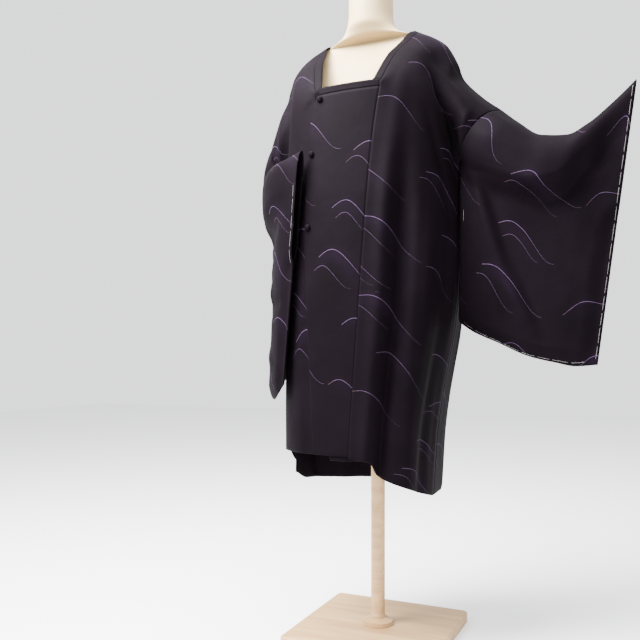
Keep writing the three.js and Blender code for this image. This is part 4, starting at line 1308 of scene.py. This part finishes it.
def column_at(grid, row, distance):
    """Column at which the outer layer of a sleeve has run a distance down from its top fold."""
    count = len(grid["w"])
    return float(np.interp(distance, grid["b"][row, :count], np.arange(count)))


def inset_rows(grid, column):
    """How many rows of a sleeve the stitches lie in from its edge."""
    return STITCH_INSET / (grid["a"][-1, column] / SLEEVE_SECTIONS)


left, right = sleeves["left"], sleeves["right"]
left_threads, right_threads = [], []
last_row = SLEEVE_SECTIONS
low_column = len(left["w"]) - 1
cuff_row = last_row - inset_rows(left, LEFT_CUFF_COLUMN)
basting_line("basting_left_cuff", left, [cuff_row, cuff_row],
             [column_at(left, last_row, LEFT_CUFF_TOP), low_column - HEM_SHORT], left_threads)
hem_columns = [column_at(left, r, left["b"][r, low_column] - STITCH_INSET * HEM_INSET) for r in HEM_ROWS]
basting_line("basting_left_hem", left, HEM_ROWS, hem_columns, left_threads)
furi_row = inset_rows(left, LEFT_FURI_COLUMN)
basting_line("basting_left_furi_low", left, [furi_row, furi_row],
             [column_at(left, 0, down) for down in LEFT_FURI], left_threads)
cuff_row = last_row - inset_rows(right, RIGHT_CUFF_COLUMN)
basting_line("basting_right_cuff", right, [cuff_row, cuff_row],
             [column_at(right, last_row, down) for down in RIGHT_CUFF], right_threads, -1)

# Dress form

def solid_of_rings(name, rings, material, node):
    """Closed solid through rings of points that are stacked upwards."""
    rows, columns = rings.shape[:2]
    faces = quads(rows, columns, True).tolist()
    faces.append(list(range(columns))[::-1])
    faces.append([(rows - 1) * columns + k for k in range(columns)])
    piece = make_object(name, rings.reshape(-1, 3), faces, material)
    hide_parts(node)
    return piece


v = np.linspace(SHOULDER_REACH, 0, SHOULDER_RINGS)
slope_x, slope_z = (
    read(RIDGES["left"], c, v + RIDGE_STEP) - read(RIDGES["left"], c, v - RIDGE_STEP)
    for c in "xz"
)
steep = np.hypot(slope_x, slope_z)
inset = CLOTH / 2 + FORM_GAP
shoulder_z = read(RIDGES["left"], "z", v) - inset * slope_x / steep
sections = {
    "z": np.concatenate([TORSO["z"], shoulder_z, NECK_SECTIONS["z"]]),
    "half": np.concatenate([TORSO["half"], read(RIDGES["left"], "x", v) + inset * slope_z / steep,
                            NECK_SECTIONS["half"]]),
}
for face in ("front", "back"):
    sections[face] = np.concatenate(
        [TORSO[face], read(SHOULDER_DEPTHS, face, shoulder_z), NECK_SECTIONS[face]])
levels = sections["z"]
height = np.concatenate([np.linspace(low, high, FORM_RINGS)[:-1] for low, high in zip(levels, levels[1:])]
                        + [levels[-1:]])
turn = np.arange(FORM_TURNS) / FORM_TURNS * 2 * math.pi
half = read(sections, "half", height)[:, None]
deep = np.where(np.sin(turn) < 0, read(sections, "front", height)[:, None],
                read(sections, "back", height)[:, None])
rings = stack(half * np.cos(turn), deep * np.sin(turn), height[:, None])
torso = solid_of_rings("form_torso_cover", rings, cream_cover, "form_torso")

# Board: heights and insets of its rounded edges, from its foot up
profile = BASE_FOOT + [(h, 0) for h in np.linspace(BASE_SIDE_FROM, BASE_HEIGHT - BASE_EDGE, BASE_SIDE_RINGS)]
profile += [(BASE_HEIGHT - BASE_EDGE + BASE_EDGE * math.sin(q), BASE_EDGE * (1 - math.cos(q)))
            for q in np.linspace(BASE_EDGE_FROM, math.pi / 2, BASE_EDGE_RINGS)]
level, inset_by = np.array(profile).T[..., None]
quarter, step = np.divmod(np.arange(4 * (CORNER + 1)), CORNER + 1)
turn = (quarter + step / CORNER) * math.pi / 2
reach = BASE_SIZE / 2 - BASE_ROUND
centre_x = np.where((quarter == 0) | (quarter == 3), reach, -reach)
centre_y = np.where(quarter < 2, reach, -reach)
rings = stack(centre_x + (BASE_ROUND - inset_by) * np.cos(turn),
              POLE_Y + centre_y + (BASE_ROUND - inset_by) * np.sin(turn), level)
board = solid_of_rings("form_board", rings, pale_wood, "form_base")
board.data.polygons.foreach_set("use_smooth", [False] * len(board.data.polygons))
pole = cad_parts["form_pole"]
if not pole.material_slots:
    pole.data.materials.append(pale_wood)
for slot in pole.material_slots:
    slot.material = pale_wood

# Floor, light and surroundings, in metres
FLOOR_REACH = 6
floor_mesh = bpy.data.meshes.new("floor")
corners = [(x * FLOOR_REACH, y * FLOOR_REACH, 0) for x, y in ((-1, -1), (1, -1), (1, 1), (-1, 1))]
floor_mesh.from_pydata(corners, [], [(0, 1, 2, 3)])
floor = placed("floor", floor_mesh)
paper = Nodes("floor_paper")
speck = paper.noise(paper.place, 60.0, 3.0, 0.5)
tone = paper.mix(speck, (0.86, 0.86, 0.86, 1), (0.90, 0.90, 0.90, 1))
floor_mesh.materials.append(paper.finish({"Base Color": tone, "Roughness": 0.9}))

world = bpy.context.scene.world or bpy.data.worlds.new("world")
bpy.context.scene.world = world
world.use_nodes = True
world.node_tree.nodes["Background"].inputs["Color"].default_value = (0.97, 0.98, 1.0, 1)
world.node_tree.nodes["Background"].inputs["Strength"].default_value = 1.9


def lamp(name, place, target, size, power):
    data = bpy.data.lights.new(name, "AREA")
    data.size = size
    data.energy = power
    light = placed(name, data)
    light.location = place
    light.rotation_euler = (Vector(target) - Vector(place)).to_track_quat("-Z", "Y").to_euler()


lamp("key", (-1.5, -1.7, 2.9), (0.0, 0, 1.0), 1.2, 260)
lamp("near", (-0.55, -0.7, 2.0), (0.0, 0, 1.0), 0.9, 240)
lamp("top", (0.1, -0.4, 3.0), (0.1, 0, 0.9), 1.2, 130)
